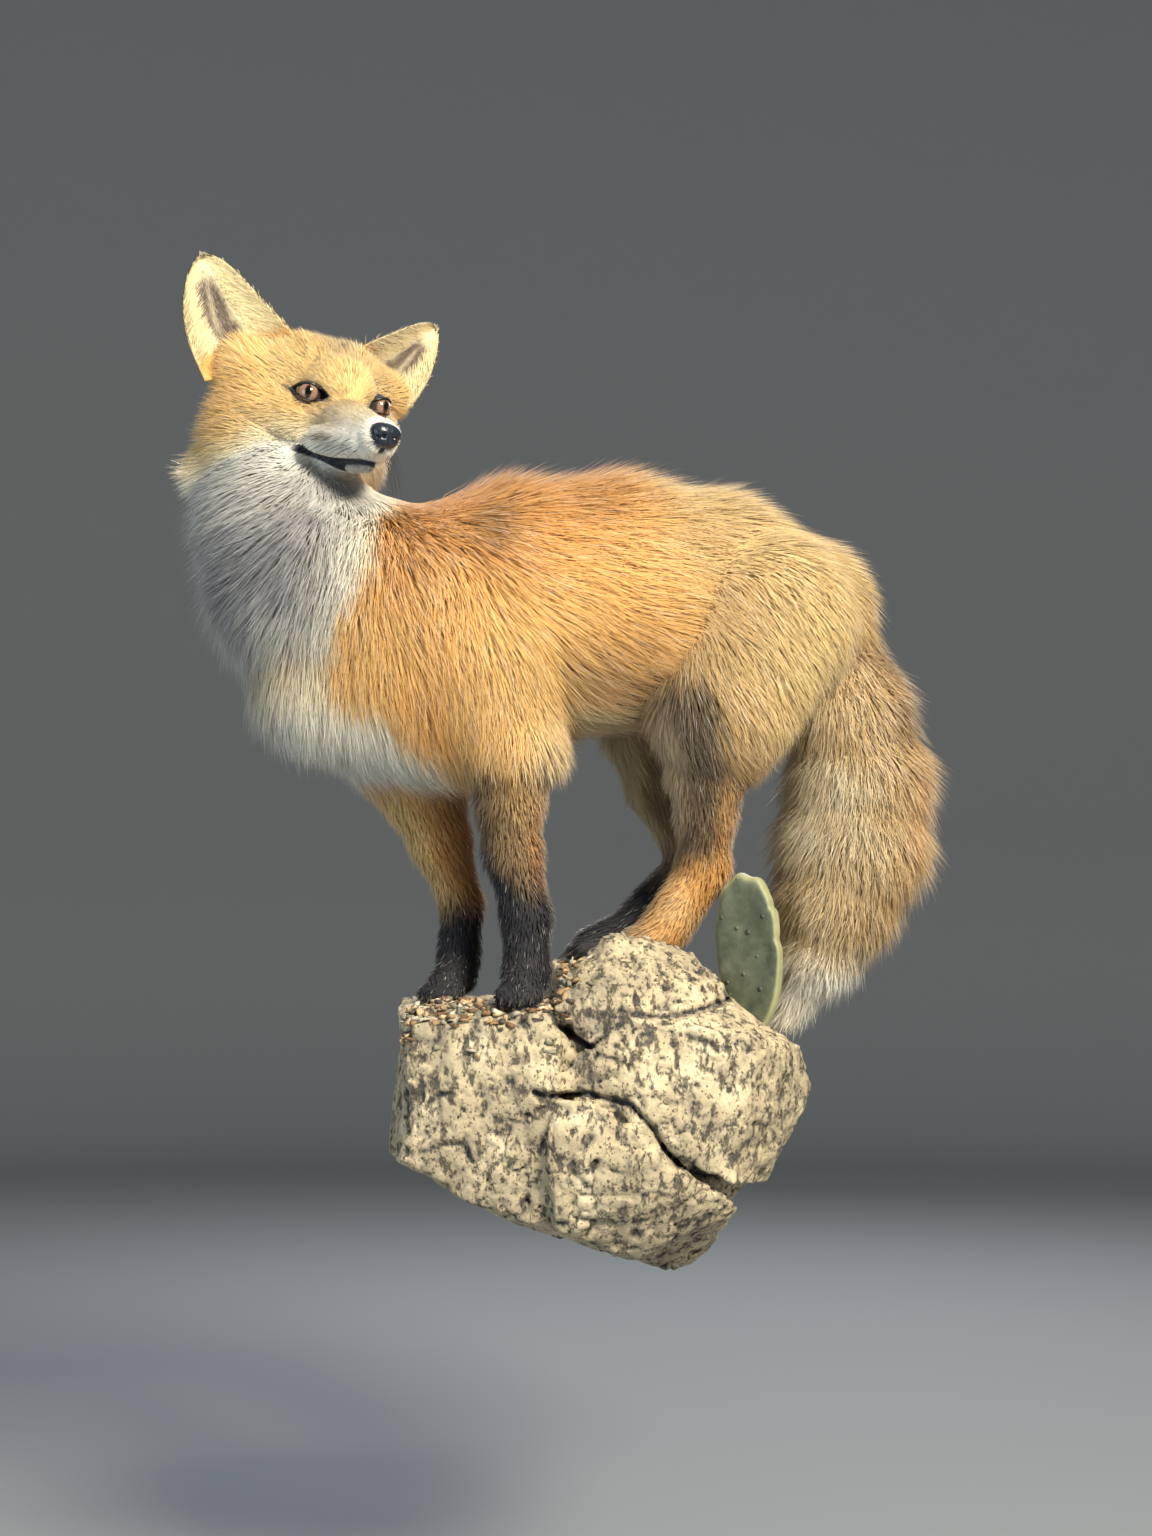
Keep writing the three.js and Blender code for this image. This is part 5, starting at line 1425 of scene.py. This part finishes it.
def noseBlock():
    rings, sectors = 72, 96
    polar = np.linspace(0, np.pi, rings)
    around = np.linspace(0, 2 * np.pi, sectors, endpoint=False)
    p, a = np.meshgrid(polar, around, indexing="ij")
    f = np.cos(p)
    s = np.sin(p) * np.cos(a)
    u = np.sin(p) * np.sin(a)
    # a ball squared off a little, narrower below, with its nostrils, slits and groove cut in
    box = (np.abs(f) ** 2.5 + np.abs(s) ** 2.5 + np.abs(u) ** 2.5) ** (-1 / 2.5)
    h = np.stack([f, s, u], -1) * box[..., None] * np.array(noseShape["size"]) * 0.97
    h[..., 1] *= 1 + 0.016 * h[..., 2]
    ns, nu = noseShape["nostril"]
    side = np.abs(h[..., 1])
    hole = np.exp(-(((side - ns) / 1.9) ** 2 + ((h[..., 2] - nu) / 1.7) ** 2)) * (h[..., 0] > 0)
    fromSlit = h[..., 2] - nu + 1.8 - 0.2 * (side - ns)
    slit = np.exp(-(((side - ns - 3.2) / 2.2) ** 2 + (fromSlit / 0.8) ** 2)) * (h[..., 0] > -1)
    groove = np.exp(-(h[..., 1] / 0.8) ** 2) * smooth(3, -2, h[..., 2]) * (h[..., 0] > 0)
    shrink = noseShape["deep"] * np.maximum(hole, 0.7 * slit) + 0.9 * groove
    h = h * (1 - shrink / np.linalg.norm(h, axis=-1))[..., None]
    points = headPlace + (h + np.array(noseShape["place"])) @ headBasis
    faces = ringFaces(np.arange(rings * sectors).reshape(rings, sectors))
    # painted shade: darker in the nostrils and slits
    dark = np.ones(h.shape) * (1 - 0.9 * hole - 0.6 * slit * (1 - hole))[..., None]
    points = points.reshape(-1, 3)
    faces = facingOut(points, faces, inHead(*noseShape["place"]))
    piece = makeMesh("nose", points, faces, noseFinish.material,
                     shades=np.clip(dark, 0.02, 1).reshape(-1, 3))
    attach(piece, "root")
    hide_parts("nose")


noseBlock()


# tubes along paths: a list of rows of points with a radius at each point
def tubes(name, paths, material, sides=4):
    points, faces, start = [], [], 0
    for line, radius in paths:
        n = len(line)
        ahead = unit(np.gradient(line, axis=0))
        first = unit(np.cross(ahead, [0.31, 0.2, 0.93]))
        second = np.cross(ahead, first)
        angle = np.linspace(0, 2 * np.pi, sides, endpoint=False)
        ring = np.cos(angle)[:, None] * first[:, None] + np.sin(angle)[:, None] * second[:, None]
        points.append((line[:, None] + ring * radius[:, None, None]).reshape(-1, 3))
        index = np.arange(n * sides).reshape(n, sides) + start
        faces.append(ringFaces(index, turned=True))
        for row, way in ((index[0], -1), (index[-1], 1)):
            faces.append(np.stack([np.full(sides - 2, row[0]), row[1:-1], row[2:]], -1)[:, ::way])
        start += n * sides
    piece = makeMesh(name, np.concatenate(points), np.concatenate(faces), material)
    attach(piece, "root")


def whiskerPaths():
    paths = []
    for sign in (1, -1):
        for row in range(3):
            for i in range(5):
                f = 58 - 7.5 * i + 2 * row
                u = -34 - 2.4 * row + 0.5 * i
                s = sign * (9.5 + 1.9 * i)
                root = allPoints[np.argmin(np.linalg.norm(allPoints - inHead(f, s, u), axis=-1))]
                length = (26 + 9 * i) * (0.8 + 0.4 * random.random())
                down = -0.42 - 0.2 * row + 0.1 * random.normal()
                out = unit(np.array([-0.35 - 0.1 * i, sign * (0.75 + 0.1 * row), down])) @ headBasis
                t = np.linspace(0, 1, 9)[:, None]
                droop = np.array([0, 0, -0.22]) - headBasis[0] * 0.30
                line = root + out * length * t + droop * length * t ** 2
                paths.append((line, 0.22 * (1 - 0.85 * t[:, 0])))
    return paths


tubes("whiskers", whiskerPaths(), whiskerFinish.material)

clawShape = dict(length=9.5, radius=1.9, sink=3, lift=0.5, dip=-0.45)


def clawPaths():
    paths = []
    for cone in cones:
        if "toe" not in cone:
            continue
        forward = cone["toe"]
        way = unit(forward * [1, 1, 0] + [0, 0, clawShape["dip"]])
        out = cone["skin"][1] + cone["coat"][1] - clawShape["sink"]
        start = cone["b"] + forward * out + [0, 0, clawShape["lift"]]
        t = np.linspace(0, 1, 7)[:, None]
        line = start + way * clawShape["length"] * t + np.array([0, 0, -1.2]) * t ** 2
        paths.append((line, clawShape["radius"] * (1 - 0.9 * t[:, 0] ** 1.3)))
    return paths


tubes("claws", clawPaths(), clawFinish.material, sides=8)
print("stage: nose, whiskers and claws")

# ---- the rock: hulls of corners joined, roughened, pitted and cracked, with a flat back
rockBlocks = dict(
    slab=[
        [-153, -90, 78], [-159, -60, 3], [-159, -80, -38], [-137, -228, 63], [-142, -222, -34],
        [-151, -150, 68], [-156, -150, -32], [-95, -238, 72], [-31, -232, 74], [-20, -200, -93],
        [-95, -215, -65], [-31, -240, 10], [-62, -120, -91], [-1, -90, 80], [14, -90, -109],
        [-120, -40, 80]],
    ledge=[
        [-30, -168, 97], [-38, -60, 108], [-20, -14, 108], [86, -30, 104], [84, -150, 96],
        [60, -176, 80], [-36, -170, 60], [100, -40, 60], [-44, -20, 70]],
    peak=[
        [15, -178, 131], [0, -192, 125], [-27, -206, 98], [-36, -232, 74], [-13, -238, 46],
        [13, -240, 72], [34, -215, 108], [30, -172, 129], [66, -172, 112], [87, -190, 90],
        [69, -225, 51], [-24, -160, 79], [90, -150, 60]],
    right=[
        [13, -238, 69], [92, -190, 82], [118, -200, 56], [145, -170, 44], [155, -150, 27],
        [151, -165, 11], [127, -180, -31], [123, -150, -53], [94, -222, -55], [54, -236, -31],
        [26, -240, 3], [-8, -236, 45], [100, -100, 74], [157, -60, 37], [149, -50, -25],
        [111, -235, 52], [-40, -228, 18], [6, -237, 13], [34, -236, -4]],
    wedge=[
        [-39, -238, 12], [-3, -242, 11], [18, -240, -1], [46, -238, -40], [95, -205, -63],
        [93, -160, -80], [86, -130, -99], [69, -120, -118], [47, -130, -123], [27, -190, -109],
        [-31, -215, -88], [-49, -180, -85], [-41, -240, -32], [26, -236, -60], [69, -60, -126],
        [-32, -60, -105]],
    core=[
        [-146, 0, 52], [-146, 0, -44], [-65, 0, -96], [48, 0, -124], [113, 0, -76], [150, 0, -20],
        [154, 0, 28], [98, 0, 77], [33, 0, 100], [-33, 0, 85], [-130, 0, 69], [-125, -210, 51],
        [-125, -200, -28], [-31, -225, 37], [-24, -190, -76], [67, -120, -94], [69, -215, -41],
        [125, -150, -10], [123, -180, 35], [71, -190, 72], [20, -190, 88]],
)
pad = dict(width=58, height=122, thickness=17, place=(111, -150, 113), turn=-30, lean=-4, footTaper=0.22,
           boxy=0.42)


# the planes round a set of corners, as outward normals and offsets
def hullPlanes(corners):
    work = bmesh.new()
    for corner in corners:
        work.verts.new(corner)
    bmesh.ops.convex_hull(work, input=work.verts)
    work.normal_update()
    middle = np.mean(np.array(corners, float), 0)
    planes = []
    for face in work.faces:
        n = np.array(face.normal)
        p = np.array(face.verts[0].co)
        if n @ (p - middle) < 0:
            n = -n
        planes.append((n, n @ p))
    work.free()
    return planes


rockGrid = [gridLine((-172, 172, 2.3)), gridLine((-248, 4, 2.3)), gridLine((-134, 138, 2.3))]
cracks = dict(  # the lines of the cracks as seen along y
    main=[(-48, 15), (-39, 12), (-10, 14), (9, 9), (19, 5), (30, -5), (41, -19), (52, -37),
          (68, -45), (95, -55)],
    left=[(-37, 71), (-29, 60), (-20, 54), (-9, 46)],
    right=[(-9, 46), (0, 54), (5, 66), (13, 73)],
    under=[(13, 72), (34, 68), (54, 69), (71, 74), (91, 80)],
    small=[(-124, 8), (-116, 13), (-107, 14)],
    low=[(-128, -27), (-113, -23), (-101, -23), (-93, -34)],
    face=[(60, 56), (71, 50), (81, 45)],
)
crackDepth = dict(main=7.0, left=4.5, right=3.5, under=4.0, small=3.0, low=3.0, face=2.5)


# the nearest of a set of scattered middles, one in each cell: how far it is, and its own random share
def nearestCell(points, size, shift):
    g = points / size + shift
    base = np.floor(g).astype(int)
    best = np.full(len(points), 9.0)
    share = np.zeros(len(points))
    for offset in np.ndindex(3, 3, 3):
        cell = base + np.array(offset) - 1
        i, j, k = (cell % tableSize).T
        place = np.stack([noiseTable[i, j, k], noiseTable[j, k, i], noiseTable[k, i, j]], -1)
        d = np.linalg.norm(cell + place - g, axis=-1)
        closer = d < best
        best = np.where(closer, d, best)
        share = np.where(closer, noiseTable[(i + 7) % tableSize, k, j], share)
    return best * size, share


# how far the stone is worn away at points near its surface, and the painted shade that darkens its
# hollows there: swells, folds that run down the left block, sharp creases, round pits of two sizes and the
# cracks
def wear(q):
    bent = q + noiseVector(q, 13) * 4
    folds = bent * np.where(q[:, :1] < -35, [1.0, 1.0, 0.38], [1.0, 0.8, 0.9])
    crease = np.abs(noise(folds, 15, 5.0))
    ragged = np.abs(noise(bent + 40, 7, 9.0))
    swell = 3.2 * noise(q, 36) + 2.2 * noise(bent, 18, 3.0)
    away, share = nearestCell(bent, 8.5, 3.0)
    radius = 1.2 + 2.4 * share
    pit = smooth(radius, 0.3 * radius, away) * (share > 0.25)
    away, share = nearestCell(bent, 23, 11.0)
    radius = 3.5 + 4.5 * share
    bowl = smooth(radius, 0.2 * radius, away) * (share > 0.55)
    crack = np.zeros(len(q))
    line = np.zeros(len(q))
    for name, places in cracks.items():
        away = fromStripe(q + noiseVector(q, 11) * 1.8, places)
        near = np.exp(-(away / 1.9) ** 2) * smooth(-110, -150, q[:, 1])
        crack = np.maximum(crack, near * crackDepth[name])
        line = np.maximum(line, near)
    worn = (swell + 2.6 * smooth(0.30, 0.0, crease) + 1.7 * smooth(0.26, 0.0, ragged)
            + 2.2 * pit + 3.4 * bowl + crack)
    # painted shade in the creases, pits and cracks
    dark = 0.55 * smooth(0.10, 0.0, crease) + 0.45 * smooth(0.10, 0.0, ragged) + 0.75 * pit + 0.6 * bowl
    return worn, np.clip(np.maximum(dark, line), 0, 1)


def rockDistance(lines):
    x, y, z = np.meshgrid(*lines, indexing="ij")
    points = np.stack([x, y, z], -1).reshape(-1, 3).astype(float)
    total = np.full(len(points), 1e9)
    for corners in rockBlocks.values():
        d = np.full(len(points), -1e9)
        for normal, offset in hullPlanes(corners):
            d = np.maximum(d, points @ normal - offset)
        total = softJoin(total, d, 3.0)
    near = np.abs(total) < 12
    total[near] += wear(points[near])[0] - 0.6
    total = np.maximum(total, points[:, 1] + 0.01)
    return total.reshape(x.shape)


rockField = rockDistance(rockGrid)
rockPoints, rockQuads = surfaceNets(rockField, rockGrid)
rockPoints = relax(rockPoints, rockQuads, 1, 0.2)
rockPoints[:, 1] = np.minimum(rockPoints[:, 1], 0)
rockFaces = triangles(rockQuads)
print("stage: rock", len(rockFaces), "triangles")

stoneFinish = Finish("artificial stone", **{"Roughness": 0.85, "Specular IOR Level": 0.25})
place = stoneFinish.place()
slanted = stoneFinish.node("ShaderNodeMapping", inputs={"Vector": place, "Rotation": (0, 0.6, 0),
                                                        "Scale": (1.25, 1, 0.6)})
broad = stoneFinish.grains(place, 24.0, 5.0, 0.6)
ragged = stoneFinish.grains(slanted, 125.0, 8.0, 0.78)
fine = stoneFinish.grains(place, 420.0, 4.0, 0.7)
grit = stoneFinish.node("ShaderNodeTexVoronoi", inputs={"Vector": place, "Scale": 230.0})
base = stoneFinish.node("ShaderNodeValToRGB", inputs={"Fac": broad},
                        stops=[(0.30, (0.27, 0.235, 0.175)), (0.5, (0.50, 0.425, 0.285)),
                               (0.7, (0.74, 0.64, 0.44))])
base = stoneFinish.mixed(0.5, base, fine, "OVERLAY")
# painted shade: the creases, pits and cracks darkened
hollow = stoneFinish.attribute("hollow", "Fac")
stain = stoneFinish.between(ragged + hollow * 0.10, 0.545, 0.64)
speck = stoneFinish.between(grit - ragged * 0.5, -0.02, -0.12)
base = stoneFinish.mixed(speck * 0.7, base, (0.13, 0.12, 0.105))
base = stoneFinish.mixed(stain * 0.80, base, (0.085, 0.090, 0.098))
base = stoneFinish.mixed(hollow * 0.85, base, (0.05, 0.058, 0.07))
stoneFinish.plug("Base Color", base)
stoneFinish.bump(fine * 0.35 - stain * 0.9 - speck * 0.4, 0.0022, 0.9)

rock = makeMesh("rock", rockPoints, rockFaces, stoneFinish.material,
                extras=dict(hollow=wear(rockPoints)[1]))
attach(rock, "root")
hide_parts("rock")

# ---- grit, bark and bits of leaf lying on the rock round the front paws
litterFinish = Finish("litter", **{"Roughness": 0.85})
litterFinish.plug("Base Color", litterFinish.attribute("shade"))
litterHeaps = [  # middle and spread on the rock's top, both x and y, and how many bits
    (-136, -200, 13, 24, 150), (-104, -196, 16, 26, 110), (-66, -222, 20, 10, 130),
    (-36, -196, 10, 22, 130), (-84, -160, 34, 40, 120), (-22, -168, 8, 18, 50),
]
litterTones = [(0.20, 0.115, 0.06), (0.42, 0.27, 0.14), (0.56, 0.42, 0.25), (0.10, 0.08, 0.065),
               (0.26, 0.25, 0.17), (0.60, 0.55, 0.44)]


# the height of the rock's top under places seen from above
def topOfRock(x, y):
    i = np.clip(np.searchsorted(rockGrid[0], x), 0, len(rockGrid[0]) - 1)
    j = np.clip(np.searchsorted(rockGrid[1], y), 0, len(rockGrid[1]) - 1)
    column = rockField[i, j][:, ::-1] < 0
    return np.where(column.any(1), rockGrid[2][::-1][np.argmax(column, 1)], -500)


# each bit is a block of eight corners with its corners pushed about, lying nearly flat
def litterBits():
    x, y = [], []
    for mx, my, sx, sy, count in litterHeaps:
        x.append(random.normal(mx, sx, count))
        y.append(random.normal(my, sy, count))
    x, y = np.concatenate(x), np.concatenate(y)
    z = topOfRock(x, y)
    keep = (z > 40) & (z < 118) & (x > -158) & (x < 0) & (y > -238) & (y < -20)
    x, y, z = x[keep], y[keep], z[keep]
    n = len(x)
    size = np.stack([random.uniform(1.6, 4.6, n), random.uniform(1.2, 3.2, n),
                     random.uniform(0.4, 1.9, n)], -1)
    corner = np.array([[a, b, c] for a in (-1, 1) for b in (-1, 1) for c in (-1, 1)], float)
    block = corner * (1 + random.uniform(-0.45, 0.2, (n, 8, 3))) * size[:, None]
    turn, tilt = random.uniform(0, 2 * np.pi, n), random.normal(0, 0.45, n)
    c, s, ct, st = np.cos(turn), np.sin(turn), np.cos(tilt), np.sin(tilt)
    one, nil = np.ones(n), np.zeros(n)
    spin = np.stack([c, -s, nil, s, c, nil, nil, nil, one], -1).reshape(n, 3, 3)
    lean = np.stack([ct, nil, st, nil, one, nil, -st, nil, ct], -1).reshape(n, 3, 3)
    points = np.einsum("nij,nkj->nki", spin @ lean, block)
    points = points + np.stack([x, y, z + random.uniform(-0.5, 3.0, n)], -1)[:, None]
    sides = np.array([[0, 1, 3, 2], [4, 6, 7, 5], [0, 4, 5, 1], [2, 3, 7, 6], [0, 2, 6, 4], [1, 5, 7, 3]])
    faces = (np.arange(n)[:, None, None] * 8 + triangles(sides)).reshape(-1, 3)
    tone = np.array(litterTones)[random.integers(0, len(litterTones), n)]
    tone = tone * random.uniform(0.7, 1.15, (n, 1))
    piece = makeMesh("litter", points.reshape(-1, 3), faces, litterFinish.material,
                     shades=np.repeat(tone, 8, 0))
    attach(piece, "root")
    print("stage: litter", n, "bits")


litterBits()

# ---- the cactus pad
cactusFinish = Finish("cactus pad", **{"Roughness": 0.55})
place = cactusFinish.place()
mottle = cactusFinish.grains(place, 70.0, 6.0, 0.62)
spots = cactusFinish.node("ShaderNodeTexVoronoi", inputs={"Vector": place, "Scale": 78.0})
areole = cactusFinish.between(spots, 0.17, 0.09)
# the face's dark olive is partly its own colour and partly painted shade; the paler rim tone is a painted
# lit edge
skinTone = cactusFinish.node("ShaderNodeValToRGB", inputs={"Fac": mottle},
                             stops=[(0.3, (0.045, 0.058, 0.042)), (0.55, (0.090, 0.108, 0.070)),
                                    (0.78, (0.16, 0.17, 0.11))])
litRimTone = cactusFinish.mixed(mottle, (0.22, 0.25, 0.12), (0.50, 0.50, 0.28))
skinTone = cactusFinish.mixed(cactusFinish.attribute("edge", "Fac"), skinTone, litRimTone)
cactusFinish.plug("Base Color", cactusFinish.mixed(areole * 0.8, skinTone, (0.045, 0.040, 0.030)))
cactusFinish.bump(mottle * 0.6 + areole * 0.8, 0.0022, 0.7)


def padFrame():
    turn, lean = math.radians(pad["turn"]), math.radians(pad["lean"])
    spin = np.array([[math.cos(turn), -math.sin(turn), 0], [math.sin(turn), math.cos(turn), 0], [0, 0, 1]])
    tip = np.array([[math.cos(lean), 0, math.sin(lean)], [0, 1, 0], [-math.sin(lean), 0, math.cos(lean)]])
    return tip @ spin


# the outline of the pad: an ellipse narrowed at its foot, scalloped, with two notches in its right edge
def padOutline(a):
    taper = 1 - pad["footTaper"] * (0.5 - 0.5 * np.sin(a))
    scallop = 1 + 0.020 * np.cos(11 * a + 0.6) * smooth(-0.6, 0.3, np.sin(a)) + 0.014 * np.cos(5 * a + 2.0)
    for notch in (0.16, 0.62):
        scallop = scallop - 0.05 * np.exp(-((a - notch) / 0.07) ** 2)
    return pad["width"] / 2 * np.cos(a) * taper * scallop, pad["height"] / 2 * np.sin(a) * scallop


def padMesh():
    sectors, rings = 192, 41
    a = np.linspace(0, 2 * np.pi, sectors, endpoint=False)
    t = np.linspace(0, np.pi, rings)
    x0, z0 = padOutline(a)
    rows = []
    for angle in t:
        wide = math.sin(angle)
        deep = -np.sign(np.cos(angle)) * abs(math.cos(angle)) ** pad["boxy"] * pad["thickness"] / 2
        rows.append(np.stack([x0 * wide, np.full(sectors, deep), z0 * wide], -1))
    points = np.stack(rows)
    inward = 1 - np.linalg.norm(points[..., [0, 2]] / [pad["width"] / 2, pad["height"] / 2], axis=-1)
    swell = noise(points.reshape(-1, 3), 17, 3.0).reshape(points.shape[:2])
    points[..., 1] *= 1 + 0.18 * swell - 0.40 * smooth(0.05, 0.6, inward)
    # painted light: the rim is marked for the pale lit tone
    edge = np.broadcast_to(smooth(0.90, 0.99, np.sin(t))[:, None], points.shape[:2])
    flat = points.reshape(-1, 3)
    faces = facingOut(flat, ringFaces(np.arange(rings * sectors).reshape(rings, sectors)))
    world = flat @ padFrame().T + np.array(pad["place"])
    piece = makeMesh("cactus_pad", world, faces, cactusFinish.material,
                     extras=dict(edge=edge.ravel() * 0.9))
    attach(piece, "root")
    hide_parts("cactus_pad")


padMesh()
print("stage: rock, litter and cactus")

# ---- the plain studio: a pale round room, a warm key, a cool fill and a light from behind
roomFinish = Finish("studio", **{"Base Color": (0.25, 0.27, 0.285, 1), "Roughness": 0.9})
room = dict(radius=5200, height=5200, floor=-420, flat=1200, sweep=900)


def studioRoom():
    r = room["radius"]
    rows = [(0.0, 0.0), (room["flat"], 0)]
    for a in np.linspace(0, np.pi / 2, 12):
        rows.append((r - room["sweep"] + room["sweep"] * math.sin(a), room["sweep"] * (1 - math.cos(a))))
    rows.append((r, room["height"]))
    sectors = 72
    around = np.linspace(0, 2 * np.pi, sectors, endpoint=False)
    points = np.array([[[radius * math.cos(b), radius * math.sin(b), room["floor"] + height]
                        for b in around] for radius, height in rows])
    faces = ringFaces(np.arange(len(rows) * sectors).reshape(len(rows), sectors), turned=True)
    return makeMesh("studio", points.reshape(-1, 3), faces[sectors:], roomFinish.material)


studioRoom()
bpy.context.scene.view_settings.view_transform = "Standard"
world = bpy.data.worlds.new("studio light")
bpy.context.scene.world = world
world.use_nodes = True
sky = world.node_tree.nodes["Background"].inputs
sky["Color"].default_value = (0.80, 0.86, 0.95, 1)
sky["Strength"].default_value = 0.38
lightAim = (0.0, -0.14, 0.25)


def areaLight(name, place, power, size, colour):
    light = bpy.data.lights.new(name, "AREA")
    light.energy, light.size, light.color = power, size, colour
    lamp = bpy.data.objects.new(name, light)
    lamp.location = place
    aim = np.array(lightAim) - np.array(place)
    lamp.rotation_euler = Vector(aim).to_track_quat("-Z", "Y").to_euler()
    bpy.context.scene.collection.objects.link(lamp)


areaLight("key", (1.10, -2.35, 1.60), 160, 0.7, (1.0, 0.90, 0.73))
areaLight("fill", (-2.0, -2.2, 0.45), 26, 1.8, (0.74, 0.86, 1.0))
areaLight("back", (0.4, 2.2, 1.8), 45, 1.2, (0.95, 0.97, 1.0))

view = bpy.data.cameras.new("view")
camera = bpy.data.objects.new("view", view)
camera.location = (-0.01947, -1.86609, 0.10308)
camera.rotation_euler = (math.radians(95), 0, 0)
view.lens = 53.44
view.sensor_width = 36
view.sensor_fit = "VERTICAL"
view.sensor_height = 36
bpy.context.scene.collection.objects.link(camera)
bpy.context.scene.camera = camera
